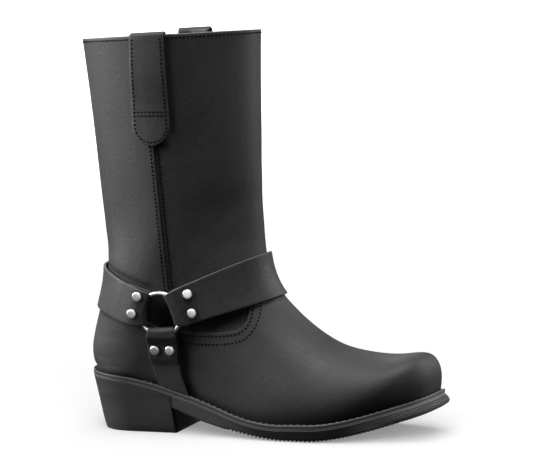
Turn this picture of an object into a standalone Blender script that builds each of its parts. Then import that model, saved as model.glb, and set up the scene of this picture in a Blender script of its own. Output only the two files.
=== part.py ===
"""Harness boot for the right foot, standing unbent on its sole.

Sizes are millimetres in the shoe's own frame: x runs from the back of the heel to the toe, y to the
medial side and z up from the floor. place() turns them into metres about the point under the boot's middle.
"""
import math
from collections import namedtuple

import bmesh
import bpy
import numpy as np

for existing in list(bpy.data.objects):
    bpy.data.objects.remove(existing, do_unlink=True)

MM = 0.001
GAP = 0.3                   # clearance between pieces that meet
CENTRE_X = 145.0            # shoe x of the part's origin
LATERAL, MEDIAL = -1, 1     # sign of y on each side
SIDE_NAMES = {LATERAL: "lateral", MEDIAL: "medial"}

# Sole: length, heel and the curve of its under side
LENGTH = 291.0
BREAST_X = 79.0             # front face of the heel, at the shank
BREAST_LEAN = 2.2           # how far that face leans forward at the floor
BREAST_HEIGHT = 19.0        # shank above the floor at the breast
FLAT_FROM, FLAT_TO = 172.0, 196.0
TOE_SPRING = 22.0           # under side above the floor at the toe
SOLE_CURVE = 1.5            # power of the shank and toe curves
STACK = 13.0                # outsole and welt together
WELT_THICKNESS = 3.7
SEAT_HEIGHT = 48.0          # top of the welt at the back of the heel
HEEL_FOOT_BACK = 8.8        # back of the heel on the floor
HEEL_TAPER = 0.88           # width of the heel at the floor against its top
HEEL_CHAMFER = 0.6
EDGE_CHAMFER = 1.0          # under edge of the outsole
TOE_CHAMFER = 2.4           # added at the toe, where the edge is bevelled
TOE_BEVEL_RUN = 18.0        # length over which it is added
EDGE_GROOVE = 0.8           # depth of the groove round the outsole's side
GROOVE_RUN = 20.0           # length over which it starts, in front of the heel
EDGE_ROWS = (0.0, 0.34, 0.42, 0.50, 0.88, 1.0)      # rows down the side, as shares of its height
GROOVE_ROW = 2

# Plan of the feather line, where the upper meets the welt
FEATHER_BACK, FEATHER_TOE = 5.0, 283.0
HEEL_ROUND_X, TOE_ROUND_X = 38.0, 255.0     # where the round heel ends and the square toe begins
HEEL_POWER, TOE_POWER = 2.2, 4.0
TOE_TAPER = 0.25
TOE_SLANT = 0.10            # the toe runs further forward on the medial side
SLANT_FROM, SLANT_TO = 200.0, 270.0
WELT_REACH = 5.0            # welt beyond the upper at the sides
TOE_REACH, HEEL_REACH = 1.55, 0.6           # the same at toe and heel, as shares
WELT_TOE_INSET = 1.5        # welt behind the outsole's edge at the toe

Plan = namedtuple("Plan", "name x lateral medial")
PLAN = (
    Plan("back", 0, 29.5, 29.5),
    Plan("seat", 38, 30.5, 30.5),
    Plan("breast", 80, 32.0, 29.5),
    Plan("waist", 112, 35.5, 28.2),
    Plan("shank", 148, 41.7, 33.2),
    Plan("ball_lateral", 190, 46.0, 41.5),
    Plan("ball_medial", 214, 44.7, 43.6),
    Plan("toe_root", 240, 38.8, 39.2),
    Plan("toe", TOE_ROUND_X, 33.5, 34.0),
)

# Sections of the last from toe to collar. Each one lies in the plane through its top point, on the front
# line of the boot, and its foot point, on the feather line or, past the heel, on the back line.
# lateral, medial: greatest half-widths; widest: how far up they lie; crown: squareness; taper: narrowing.
Section = namedtuple("Section", "name top_x top_z foot_x foot_z lateral medial widest crown taper")
ON_FEATHER = None
SECTIONS = (
    Section("toe_edge", 283.0, 33.6, 255, ON_FEATHER, 33.5, 34.0, 0.01, 4.0, 0.25),
    Section("toe_face", 283.4, 46.5, 252, ON_FEATHER, 35.0, 35.5, 0.12, 3.6, 0.18),
    Section("toe_bend", 279.6, 58.0, 247, ON_FEATHER, 36.8, 37.4, 0.18, 3.1, 0.10),
    Section("toe_top", 270.0, 62.0, 240, ON_FEATHER, 39.4, 40.0, 0.22, 2.8, 0.04),
    Section("toe_box", 252.0, 60.4, 228, ON_FEATHER, 43.0, 43.2, 0.23, 2.6, 0.0),
    Section("vamp", 228.0, 62.4, 212, ON_FEATHER, 46.2, 45.0, 0.23, 2.4, 0.0),
    Section("ball", 206.0, 69.0, 192, ON_FEATHER, 47.6, 43.5, 0.24, 2.3, 0.0),
    Section("cone", 186.0, 82.0, 170, ON_FEATHER, 46.5, 40.5, 0.27, 2.15, 0.0),
    Section("instep", 171.0, 95.6, 146, ON_FEATHER, 43.5, 37.6, 0.33, 2.05, 0.0),
    Section("throat", 158.0, 110.5, 118, ON_FEATHER, 40.2, 36.6, 0.40, 2.0, 0.0),
    Section("bend", 150.8, 126.5, 86, ON_FEATHER, 38.8, 37.0, 0.45, 2.0, 0.0),
    Section("quarter", 148.2, 142.0, 52, ON_FEATHER, 39.2, 38.5, 0.48, 2.0, 0.0),
    Section("counter", 147.6, 156.0, 22, ON_FEATHER, 40.4, 40.1, 0.49, 2.0, 0.0),
    Section("seat", 147.1, 168.0, 8, ON_FEATHER, 41.4, 41.3, 0.49, 2.0, 0.0),
    Section("heel_edge", 146.8, 178.0, FEATHER_BACK, ON_FEATHER, 42.1, 42.1, 0.49, 2.0, 0.0),
    Section("heel_bulge", 146.6, 190.0, 1.6, 66.0, 43.2, 43.2, 0.49, 2.0, 0.0),
    Section("heel_top", 146.5, 204.0, 10.2, 98.0, 44.3, 44.3, 0.5, 2.0, 0.0),
    Section("ankle", 146.5, 219.0, 17.8, 132.0, 45.6, 45.6, 0.5, 2.0, 0.0),
    Section("calf_low", 146.7, 240.0, 15.2, 174.0, 47.0, 47.0, 0.5, 2.05, 0.0),
    Section("calf", 147.0, 264.0, 11.8, 214.0, 48.6, 48.6, 0.5, 2.05, 0.0),
    Section("calf_high", 147.6, 290.0, 7.5, 263.0, 50.2, 50.2, 0.5, 2.05, 0.0),
    Section("collar", 148.5, 315.0, 2.3, 311.0, 51.5, 51.5, 0.5, 2.05, 0.0),
)
HEEL_EDGE = 14              # row of SECTIONS at the back end of the feather line
SECTION_STEPS = 60          # sections worked out between two rows

# Upper: wall, the step of the foot leather over the shaft, and the mesh rows
SHAFT_WALL = 1.8
FOOT_STEP = 1.0
HALF_COLUMNS = 22           # columns from back to front on each side
COLUMN_CROWDING = 0.45      # share of the columns drawn to the toe and the heel
FOOT_ROWS, SHAFT_ROWS = 14, 11
EDGE_BACK, EDGE_FRONT = 16.6, 9.8       # places of the vamp edge along SECTIONS, back and front
EDGE_REACH = 3.0                        # how fast rows forget the vamp edge's dip
Corner = namedtuple("Corner", "name x z")
VAMP_EDGE = (
    Corner("under_heel_strap", 45, 105),
    Corner("under_ring", 75, 91),
    Corner("notch_back", 96, 82.5),
    Corner("notch_floor", 126, 82),
    Corner("notch_corner", 140, 87.5),
    Corner("notch_front", 146, 98),
    Corner("under_instep_strap", 148.5, 110),
)

# Insole
INSOLE_INSET = 2.7
INSOLE_RISE = 2.6           # top of the insole above the top of the welt

# Harness: ring, straps and rivets on each side
RING_X, RING_Z = 78.0, 96.6
RING_RADIUS = 16.2          # middle of the wire
WIRE_RADIUS = 1.6
RING_SIDES, WIRE_SIDES = 20, 8
STRAP_LIFT = 1.6            # strap above the shaft, clear of the foot leather
STRAP_THICKNESS = 2.4
SKIVED_THICKNESS = 1.7      # where the strap's end is folded round the ring
POCKET = 2.0                # half the room for the wire inside the fold
RING_LIFT = STRAP_LIFT + SKIVED_THICKNESS + POCKET
FOLD_END = 33.5             # end of the folded-back ply, from the ring's centre
STRAP_DOWN = 41.0           # where the strap lies down on the boot
PLANE_FROM, PLANE_TO = 19.0, 32.0       # strap flat with the ring, then following the boot
CROSS = (-1.0, -0.5, 0.0, 0.5, 1.0)     # lines along a strap, as shares of its half-width
STRAP_LINE_POINTS = 150

# angle: from forward, in the side view; fold: visible fold from the ring's centre; bow: its curve;
# fold_half, root_half: half-widths at the fold and beyond the ring; rivet: rivets from the ring's centre.
Arm = namedtuple("Arm", "name angle fold bow fold_half root_half rivet rivet_half")
INSTEP_ARM = Arm("instep", 20, 8.6, 1.2, 11.0, 14.8, 25.6, 7.3)
HEEL_ARM = Arm("heel", 158, 12.0, 3.0, 9.2, 14.8, 24.4, 7.2)
SOLE_ARM = Arm("sole", 261.5, 10.2, 2.0, 10.2, 12.2, 28.8, 6.5)
ROOT_DISTANCE = 16.0
WIRE_CREST = RING_RADIUS + 0.7              # where the outer ply starts down behind the wire
WIRE_SLOPE = 4.0                            # length over which it comes down
SKIVE_FROM, SKIVE_RUN = 14.0, 20.0          # where the ply thickens, and over what length
BOW_RUN = 8.0                               # length over which the fold's curve fades
FOLD_STATIONS = (FOLD_END, 28.0, 23.0, 18.0)        # loops along the folded-back ply
FOLD_ANGLES = (-60.0, -30.0, 0.0, 30.0, 60.0)       # loops round the fold
PLY_STATIONS = (WIRE_CREST, 18.0, 19.4, 20.9, 26.0, 30.0, 34.0, 37.5, STRAP_DOWN)
FAR_STEPS, SOLE_FAR_STEPS = 9, 4            # loops beyond them
SURFACE_POINTS = 160                        # points worked out along an arm
INSTEP_LOW, INSTEP_HIGH = 105.5, 140.5      # strap edges on the front line
HEEL_LOW, HEEL_HIGH = 97.5, 132.0           # strap edges on the back line
SOLE_STRAP_X, SOLE_STRAP_HALF = 84.0, 11.8  # foot of the sole strap at the welt
SOLE_STRAP_RISE = 1.8                       # its skin side above the welt, as the skin leans out there

RIVET_PROFILE = ((4.0, 0.0), (3.5, 1.1), (1.5, 2.0))     # radius and height
RIVET_SIDES = 10

# Pull loops and side piping
LOOP_X = 76.0
LOOP_FOOT, LOOP_ROUND = 230.5, 11.0         # lower end and the height of its round
LOOP_HALF_LOW, LOOP_HALF_HIGH = 15.2, 13.6
LOOP_THICKNESS = 2.2
LOOP_LIFT_LOW, LOOP_LIFT_HIGH = 0.6, 1.7
LOOP_LIFT_FROM = 254.0                      # cross seam, above which the loop stands off
LOOP_STATIONS = (230.5, 231.7, 234.0, 237.5, 241.5, 254.0, 274.0, 293.0)    # loops up the outside
LOOP_TURNS = (0.0, 35.0, 70.0, 110.0, 145.0, 180.0)         # loops over the rim
RIM_MARGIN = 3.0                            # where the loop leaves the skin, below the rim
LOOP_INSIDE = 46.0                          # length of the loop inside the shaft
LOOP_RISE = {LATERAL: 0.6, MEDIAL: 2.2}     # room between the rim and the loop over it
PIPING_TOP, PIPING_FOOT = (77.0, 225.5), (82.6, 116.0)
PIPING_PROFILE = ((-1.3, 0.3), (1.3, 0.3), (0.95, 1.05), (0.0, 1.35), (-0.95, 1.05))
PIPING_STEPS = 18


def smooth(share):
    """Ease from 0 to 1."""
    share = np.clip(share, 0.0, 1.0)
    return share * share * (3.0 - 2.0 * share)


def spline(knots, values):
    """Return a natural cubic through the values at the knots, as a function."""
    knots = np.asarray(knots, float)
    values = np.asarray(values, float)
    count = len(knots)
    steps = np.diff(knots)
    system = np.eye(count)
    bends = np.zeros(count)
    for i in range(1, count - 1):
        system[i, i - 1:i + 2] = steps[i - 1], 2.0 * (steps[i - 1] + steps[i]), steps[i]
        bends[i] = 6.0 * ((values[i + 1] - values[i]) / steps[i] - (values[i] - values[i - 1]) / steps[i - 1])
    moments = np.linalg.solve(system, bends)

    def at(place_):
        place_ = np.asarray(place_, float)
        i = np.clip(np.searchsorted(knots, place_) - 1, 0, count - 2)
        after, before, step = place_ - knots[i], knots[i + 1] - place_, steps[i]
        curve = (moments[i] * before ** 3 + moments[i + 1] * after ** 3) / (6.0 * step)
        line = values[i] * before / step + values[i + 1] * after / step
        return curve + line - step / 6.0 * (moments[i] * before + moments[i + 1] * after)

    return at


# Sole heights and plan

def sole_bottom(x):
    """Height of the outsole's under side in front of the heel."""
    shank = np.clip((FLAT_FROM - x) / (FLAT_FROM - BREAST_X), 0.0, None) ** SOLE_CURVE
    toe = np.clip((x - FLAT_TO) / (LENGTH - FLAT_TO), 0.0, None) ** SOLE_CURVE
    return BREAST_HEIGHT * shank + TOE_SPRING * toe


def welt_top(x):
    """Height of the welt's top, which eases to the seat height over the heel."""
    x = np.asarray(x, float)
    behind = np.clip(BREAST_X - x, 0.0, None)
    slope = SOLE_CURVE * BREAST_HEIGHT / (FLAT_FROM - BREAST_X)
    ease = (BREAST_HEIGHT + STACK + slope * BREAST_X - SEAT_HEIGHT) / BREAST_X ** 2
    return sole_bottom(np.maximum(x, BREAST_X)) + STACK + slope * behind - ease * behind ** 2


PLAN_SPLINES = {
    LATERAL: spline([row.x for row in PLAN], [row.lateral for row in PLAN]),
    MEDIAL: spline([row.x for row in PLAN], [row.medial for row in PLAN]),
}


def plan_ends(grow):
    """Back and toe of an outline that stands outside the feather line by grow."""
    outward = np.asarray(grow, float)
    heel = np.where(outward > 0.0, outward * HEEL_REACH, outward)
    toe = np.where(outward > 0.0, outward * TOE_REACH, outward)
    return FEATHER_BACK - heel, FEATHER_TOE + toe


def plan_side(x, side):
    """Half-width of the feather line before its ends are rounded."""
    x = np.asarray(x, float)
    toe_width = PLAN_SPLINES[side](TOE_ROUND_X)
    share = np.clip(x - TOE_ROUND_X, 0.0, None) / (FEATHER_TOE - TOE_ROUND_X)
    return PLAN_SPLINES[side](np.minimum(x, TOE_ROUND_X)) - toe_width * TOE_TAPER * share


def plan_width(x, side):
    """Half-width of the feather line at x."""
    x = np.asarray(x, float)
    heel = np.clip((HEEL_ROUND_X - x) / (HEEL_ROUND_X - FEATHER_BACK), 0.0, 1.0)
    toe = np.clip((x - TOE_ROUND_X) / (FEATHER_TOE - TOE_ROUND_X), 0.0, 1.0)
    round_heel = (1.0 - heel ** HEEL_POWER) ** (1.0 / HEEL_POWER)
    square_toe = (1.0 - toe ** TOE_POWER) ** (1.0 / TOE_POWER)
    return plan_side(x, side) * round_heel * square_toe


def outline(station, grow, side):
    """Point (x, y) of an outline: stations 0 to 1 go round the heel, 1 to 2 forward, 2 to 3 round the toe."""
    back, toe = plan_ends(grow)
    quarter = math.pi / 2.0
    heel_turn = np.clip(station, 0.0, 1.0) * quarter
    toe_turn = np.clip(3.0 - station, 0.0, 1.0) * quarter
    forward = HEEL_ROUND_X + (np.clip(station, 1.0, 2.0) - 1.0) * (TOE_ROUND_X - HEEL_ROUND_X)
    cos_heel = np.clip(np.cos(heel_turn), 0.0, 1.0) ** (2.0 / HEEL_POWER)
    cos_toe = np.clip(np.cos(toe_turn), 0.0, 1.0) ** (2.0 / TOE_POWER)
    x = forward - (HEEL_ROUND_X - back) * cos_heel + (toe - TOE_ROUND_X) * cos_toe
    rounding = np.sin(heel_turn) ** (2.0 / HEEL_POWER) * np.sin(toe_turn) ** (2.0 / TOE_POWER)
    return x, side * (plan_side(x, side) + grow) * rounding


def forward_station(x):
    """Station of a place between the round heel and the square toe."""
    return 1.0 + (x - HEEL_ROUND_X) / (TOE_ROUND_X - HEEL_ROUND_X)


# Surface of the last

def section_table():
    """Work out the sections between the rows of SECTIONS, as one array for each column."""
    count = len(SECTIONS)
    places = np.linspace(0, count - 1, SECTION_STEPS * (count - 1) + 1)
    rows = np.arange(count)
    table = {"place": places}
    for column in ("top_x", "top_z", "lateral", "medial", "widest", "crown", "taper"):
        table[column] = spline(rows, [getattr(row, column) for row in SECTIONS])(places)
    feather_x = spline(rows[:HEEL_EDGE + 1], [row.foot_x for row in SECTIONS[:HEEL_EDGE + 1]])
    back_rows = SECTIONS[HEEL_EDGE:]
    back_z = [float(welt_top(FEATHER_BACK)) + GAP] + [row.foot_z for row in back_rows[1:]]
    back_x = spline(rows[HEEL_EDGE:], [row.foot_x for row in back_rows])
    on_feather = places <= HEEL_EDGE
    table["foot_x"] = np.where(on_feather, feather_x(places), back_x(places))
    height = spline(rows[HEEL_EDGE:], back_z)(places)
    table["foot_z"] = np.where(on_feather, welt_top(table["foot_x"]) + GAP, height)
    for side, name in SIDE_NAMES.items():
        foot = np.where(on_feather, plan_width(np.maximum(table["foot_x"], FEATHER_BACK), side), 0.0)
        table["tuck_" + name] = np.clip(foot / table[name], 0.0, 1.0)
    return table


LAST = section_table()


def half_width(x, z, side):
    """Distance of the upper's skin from the middle plane at points of the side view."""
    x, z = np.asarray(x, float), np.asarray(z, float)
    rise_x, rise_z = LAST["top_x"] - LAST["foot_x"], LAST["top_z"] - LAST["foot_z"]
    across = rise_x * (z[:, None] - LAST["foot_z"]) - rise_z * (x[:, None] - LAST["foot_x"])
    passed = across <= 0.0
    after = np.where(passed.any(axis=1), np.argmax(passed, axis=1), len(rise_x) - 1)
    before = np.maximum(after - 1, 0)
    points = np.arange(len(x))
    ahead, behind = across[points, before], across[points, after]
    share = np.where(ahead > behind, ahead / np.where(ahead > behind, ahead - behind, 1.0), 0.0)
    index = before + np.clip(share, 0.0, 1.0)

    def column(name):
        return np.interp(index, np.arange(len(rise_x)), LAST[name])

    run_x, run_z = column("top_x") - column("foot_x"), column("top_z") - column("foot_z")
    along = (x - column("foot_x")) * run_x + (z - column("foot_z")) * run_z
    along = np.clip(along / (run_x ** 2 + run_z ** 2), 0.0, 1.0)
    widest, crown = np.maximum(column("widest"), 0.005), column("crown")
    tuck = column("tuck_" + SIDE_NAMES[side])
    upper = np.clip((along - widest) / (1.0 - widest), 0.0, 1.0)
    lower = np.clip((widest - along) / widest, 0.0, 1.0)
    above = (1.0 - upper ** crown) ** (1.0 / crown)
    below = np.sqrt(1.0 - lower ** 2 * (1.0 - tuck ** 2))
    width = column(SIDE_NAMES[side]) * np.where(along >= widest, above, below)
    return width * (1.0 - column("taper") * along)


def front_point(place_):
    """Point (x, z) of the front line at a place along SECTIONS."""
    return np.array([np.interp(place_, LAST["place"], LAST[name]) for name in ("top_x", "top_z")])


def back_point(place_):
    """Point (x, z) of the back line at a place along SECTIONS."""
    return np.array([np.interp(place_, LAST["place"], LAST[name]) for name in ("foot_x", "foot_z")])


def front_at_height(z):
    """Point of the front line at a height of the shaft or instep."""
    above_toe = LAST["place"] >= 5
    return np.array([np.interp(z, LAST["top_z"][above_toe], LAST["top_x"][above_toe]), z])


def back_at_height(z):
    """Point of the back line at a height."""
    back = LAST["place"] >= HEEL_EDGE
    return np.array([np.interp(z, LAST["foot_z"][back], LAST["foot_x"][back]), z])


def resample(points, distances):
    """Points at distances along a polyline."""
    lengths = np.concatenate([[0.0], np.cumsum(np.linalg.norm(np.diff(points, axis=0), axis=1))])
    return np.stack([np.interp(distances, lengths, points[:, i]) for i in range(points.shape[1])], axis=1)


def polyline_length(points):
    return float(np.linalg.norm(np.diff(points, axis=0), axis=1).sum())


def skin_line(path, side):
    """Lay a path of the side view on the upper's skin, on one side."""
    width = half_width(path[:, 0], path[:, 1], side)
    return np.stack([path[:, 0], side * width, path[:, 1]], axis=1)


def skin_point(x, z, side):
    """Point of the upper's skin and its outward normal, away from the front and back lines."""
    step = 2.0
    xs = np.array([x, x + step, x - step, x, x])
    zs = np.array([z, z, z, z + step, z - step])
    width = half_width(xs, zs, side)
    slope_x, slope_z = (width[1] - width[2]) / (2.0 * step), (width[3] - width[4]) / (2.0 * step)
    normal = np.array([-slope_x, side, -slope_z])
    return np.array([x, side * width[0], z]), normal / np.linalg.norm(normal)


# Mesh helpers

def place(point):
    """Shoe millimetres to the part's metres, with the forefoot's slant."""
    x, y, z = (float(value) for value in point)
    slant = TOE_SLANT * float(smooth((x - SLANT_FROM) / (SLANT_TO - SLANT_FROM)))
    return ((x + slant * y - CENTRE_X) * MM, y * MM, z * MM)


def material(name, colour, roughness, metallic=0.0):
    made = bpy.data.materials.new(name)
    made.use_nodes = True
    shader = made.node_tree.nodes["Principled BSDF"]
    shader.inputs["Base Color"].default_value = (*colour, 1.0)
    shader.inputs["Roughness"].default_value = roughness
    shader.inputs["Metallic"].default_value = metallic
    return made


MATERIALS = {
    "leather": material("black_leather", (0.035, 0.034, 0.034), 0.5),
    "rubber": material("black_rubber", (0.028, 0.028, 0.028), 0.62),
    "nickel": material("nickel", (0.75, 0.74, 0.72), 0.22, 1.0),
    "fibre": material("insole_fibre", (0.06, 0.05, 0.045), 0.8),
}


def end_strips(loop):
    """Faces over the end of a sole, in strips between the rows of its two sides."""
    half = len(loop) // 2 - 1       # rows down each side, between the middle points over and under them
    rows = [(loop[row], loop[-2 - row]) for row in range(half)]
    strips = [[left, low_left, low_right, right]
              for (left, right), (low_left, low_right) in zip(rows, rows[1:])]
    strips[0].append(loop[-1])
    strips[-1].insert(2, loop[half])
    return strips


def solid(name, loops, finish, closed=False, in_strips=False):
    """Make a node from loops of points: a tube with end faces, or a ring when closed."""
    shape = bmesh.new()
    rings = [[shape.verts.new(place(point)) for point in loop] for loop in loops]
    count = len(rings[0])
    pairs = list(zip(rings, rings[1:]))
    if closed:
        pairs.append((rings[-1], rings[0]))
    for ring, following in pairs:
        for i in range(count):
            j = (i + 1) % count
            shape.faces.new((ring[i], ring[j], following[j], following[i]))
    if not closed:
        for ring in (rings[0], rings[-1]):
            for face in end_strips(ring) if in_strips else [ring]:
                shape.faces.new(face)
    bmesh.ops.recalc_face_normals(shape, faces=shape.faces[:])
    bmesh.ops.triangulate(shape, faces=shape.faces[:])
    mesh = bpy.data.meshes.new(name)
    shape.to_mesh(mesh)
    shape.free()
    mesh.shade_smooth()
    mesh.set_sharp_from_angle(angle=math.radians(35.0))
    mesh.materials.append(MATERIALS[finish])
    node = bpy.data.objects.new(name, mesh)
    bpy.context.scene.collection.objects.link(node)
    return node


# Sole, welt and insole

def sole_stations():
    """Stations along the outsole, each with a flag that says whether it stands on the heel."""
    round_heel = [(share, True) for share in np.linspace(0.06, 1.0, 8)]
    heel = [(forward_station(x), True) for x in np.linspace(HEEL_ROUND_X, BREAST_X, 5)[1:]]
    shank = np.linspace(BREAST_X + 0.6, FLAT_FROM, 8)
    ball = np.linspace(FLAT_FROM, FLAT_TO, 3)[1:]
    fore = np.linspace(FLAT_TO, TOE_ROUND_X, 7)[1:]
    front = [(forward_station(x), False) for x in np.concatenate([shank, ball, fore])]
    toe = [(3.0 - share, False) for share in (0.85, 0.7, 0.55, 0.4, 0.26, 0.14, 0.05)]
    return round_heel + heel + front + toe


def sole_side(station, on_heel, side):
    """Points down one side of the outsole at a station."""
    top_x, _ = outline(station, WELT_REACH, side)
    toe_share = float(smooth((top_x - TOE_ROUND_X) / TOE_BEVEL_RUN))
    groove = EDGE_GROOVE * float(smooth((top_x - BREAST_X) / GROOVE_RUN))
    points = []
    for row, share in enumerate(EDGE_ROWS):
        inset = groove if row == GROOVE_ROW else 0.0
        if share == 1.0:
            inset = HEEL_CHAMFER if on_heel else EDGE_CHAMFER + TOE_CHAMFER * toe_share
        x, y = outline(station, WELT_REACH - inset, side)
        top = float(welt_top(x)) - WELT_THICKNESS - GAP
        bottom = 0.0 if on_heel else float(sole_bottom(x))
        if on_heel:
            foot_x = HEEL_FOOT_BACK + x * (BREAST_X + BREAST_LEAN - HEEL_FOOT_BACK) / BREAST_X
            x += (foot_x - x) * share
            y *= 1.0 + (HEEL_TAPER - 1.0) * share
        points.append((x, y, top + (bottom - top) * share))
    return points


def middle(first, last):
    return tuple((a + b) / 2.0 for a, b in zip(first, last))


def make_outsole():
    loops = []
    for station, on_heel in sole_stations():
        lateral = sole_side(station, on_heel, LATERAL)
        medial = sole_side(station, on_heel, MEDIAL)
        under, over = middle(lateral[-1], medial[-1]), middle(lateral[0], medial[0])
        loops.append([*lateral, under, *reversed(medial), over])
    solid("outsole", loops, "rubber", in_strips=True)


def round_stations():
    """Stations once round an outline, with the side each lies on."""
    heel = np.linspace(0.0, 1.0, 9)
    forward = np.linspace(1.0, 2.0, 18)[1:]
    toe = 3.0 - np.array([0.85, 0.7, 0.55, 0.4, 0.26, 0.14, 0.05, 0.0])
    half = np.concatenate([heel, forward, toe])
    return [(share, LATERAL) for share in half] + [(share, MEDIAL) for share in half[-2:0:-1]]


def make_welt():
    inner = -SHAFT_WALL - GAP
    loops = []
    for station, side in round_stations():
        loop = []
        toe_share = float(smooth((outline(station, WELT_REACH, side)[0] - TOE_ROUND_X) / TOE_BEVEL_RUN))
        edge = WELT_REACH - WELT_TOE_INSET * toe_share
        for grow, drop in ((edge, 0.0), (edge, WELT_THICKNESS), (inner, WELT_THICKNESS), (inner, 0.0)):
            x, y = outline(station, grow, side)
            loop.append((x, y, float(welt_top(x)) - drop))
        loops.append(loop)
    solid("welt", loops, "rubber", closed=True)


def make_insole():
    loops = []
    heel = np.linspace(0.1, 1.0, 7)
    forward = np.linspace(1.0, 2.0, 16)[1:]
    toe = 3.0 - np.array([0.8, 0.6, 0.4, 0.22, 0.07])
    for station in np.concatenate([heel, forward, toe]):
        edges = []
        for side in (LATERAL, MEDIAL):
            x, y = outline(station, -INSOLE_INSET, side)
            height = float(welt_top(x))
            edges.append(((x, y, height + INSOLE_RISE), (x, y, height - WELT_THICKNESS)))
        (lateral_top, lateral_low), (medial_top, medial_low) = edges
        loops.append([lateral_top, lateral_low, middle(lateral_low, medial_low),
                      medial_low, medial_top, middle(medial_top, lateral_top)])
    solid("insole", loops, "fibre", in_strips=True)


# Upper

def crowded(count):
    """Parameters from 0 to 1, close together at both ends."""
    return (1.0 - np.cos(np.linspace(0.0, math.pi, count))) / 2.0


def chord(back, front, shares):
    return back + shares[:, None] * (front - back)


def upper_rows():
    """Rows of the upper, feather line to collar, as paths of the side view with a flag for foot leather."""
    shares = crowded(180)
    feather_back, feather_toe = back_point(HEEL_EDGE), front_point(0)
    feather_x = feather_back[0] + shares * (feather_toe[0] - feather_back[0])
    feather = np.stack([feather_x, welt_top(feather_x) + GAP], axis=1)
    feather_dip = feather - chord(feather_back, feather_toe, shares)
    edge_back, edge_front = back_point(EDGE_BACK), front_point(EDGE_FRONT)
    corners = np.array([edge_back, *[(corner.x, corner.z) for corner in VAMP_EDGE], edge_front])
    marks = np.concatenate([[0.0], np.cumsum(np.linalg.norm(np.diff(corners, axis=0), axis=1))])
    edge = np.stack([spline(marks, corners[:, i])(shares * marks[-1]) for i in (0, 1)], axis=1)
    edge_dip = edge - chord(edge_back, edge_front, shares)
    rows = []
    for row in range(FOOT_ROWS + 1):
        share = row / FOOT_ROWS
        back = back_point(HEEL_EDGE + share * (EDGE_BACK - HEEL_EDGE))
        front = front_point(share * EDGE_FRONT)
        dip = (1.0 - share) * feather_dip + share ** EDGE_REACH * edge_dip
        rows.append((chord(back, front, shares) + dip, True))
    last = len(SECTIONS) - 1
    for row in range(SHAFT_ROWS + 1):
        share = row / SHAFT_ROWS
        back = back_point(EDGE_BACK + share * (last - EDGE_BACK))
        front = front_point(EDGE_FRONT + share * (last - EDGE_FRONT))
        dip = (1.0 - share) ** EDGE_REACH * edge_dip
        rows.append((chord(back, front, shares) + dip, False))
    return rows


def upper_ring(path, on_feather):
    """Points round the boot along a path, from the back over the lateral side to the front and back again."""
    shares = np.linspace(0.0, 1.0, HALF_COLUMNS + 1)
    columns = (1.0 - COLUMN_CROWDING) * shares + COLUMN_CROWDING * crowded(HALF_COLUMNS + 1)
    halves = []
    for side in (LATERAL, MEDIAL):
        line = skin_line(path, side)
        if on_feather:
            line[:, 1] = side * plan_width(path[:, 0], side)
        line[[0, -1], 1] = 0.0
        halves.append(resample(line, columns * polyline_length(line)))
    return np.concatenate([halves[0], halves[1][-2:0:-1]])


def ring_normals(rings):
    """Outward normals of a stack of closed rings."""
    along = np.roll(rings, -1, axis=1) - np.roll(rings, 1, axis=1)
    upward = np.gradient(rings, axis=0)
    normals = np.cross(along, upward)
    normals /= np.linalg.norm(normals, axis=2, keepdims=True)
    outward = rings - rings.mean(axis=1, keepdims=True)
    return normals * np.sign((normals * outward).sum(axis=(1, 2)))[:, None, None]


def make_upper():
    rows = upper_rows()
    seam = FOOT_ROWS + 1        # first shaft row, at the same place as the last foot row
    rings = np.array([upper_ring(path, row == 0) for row, (path, _) in enumerate(rows)])
    single = np.delete(rings, seam, axis=0)
    normals = np.insert(ring_normals(single), seam, 0.0, axis=0)
    normals[seam] = normals[seam - 1]
    outer = [ring + normal * (FOOT_STEP if foot else 0.0)
             for ring, normal, (_, foot) in zip(rings, normals, rows)]
    inner = [ring - normal * SHAFT_WALL for ring, normal in zip(rings, normals)]
    inner.pop(seam)
    for edge in (outer[0], inner[0]):
        edge[:, 2] = welt_top(edge[:, 0]) + GAP
    solid("upper", outer + inner[::-1], "leather", closed=True)


# Harness

def ring_frame(side):
    """Centre, normal and two axes of the ring's plane."""
    base, normal = skin_point(RING_X, RING_Z, side)
    forward = np.array([1.0, 0.0, 0.0]) - normal * normal[0]
    forward /= np.linalg.norm(forward)
    upward = np.array([0.0, 0.0, 1.0]) - normal * normal[2]
    upward -= forward * (upward @ forward)
    upward /= np.linalg.norm(upward)
    return base + normal * RING_LIFT, normal, forward, upward


def arm_end(arm, share):
    """End of an arm in the side view: on the front line, the back line or the welt."""
    if arm is INSTEP_ARM:
        return front_at_height((INSTEP_LOW + INSTEP_HIGH + share * (INSTEP_HIGH - INSTEP_LOW)) / 2.0)
    if arm is HEEL_ARM:
        return back_at_height((HEEL_LOW + HEEL_HIGH + share * (HEEL_HIGH - HEEL_LOW)) / 2.0)
    x = SOLE_STRAP_X + share * SOLE_STRAP_HALF
    return np.array([x, float(welt_top(x)) + SOLE_STRAP_RISE])


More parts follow.
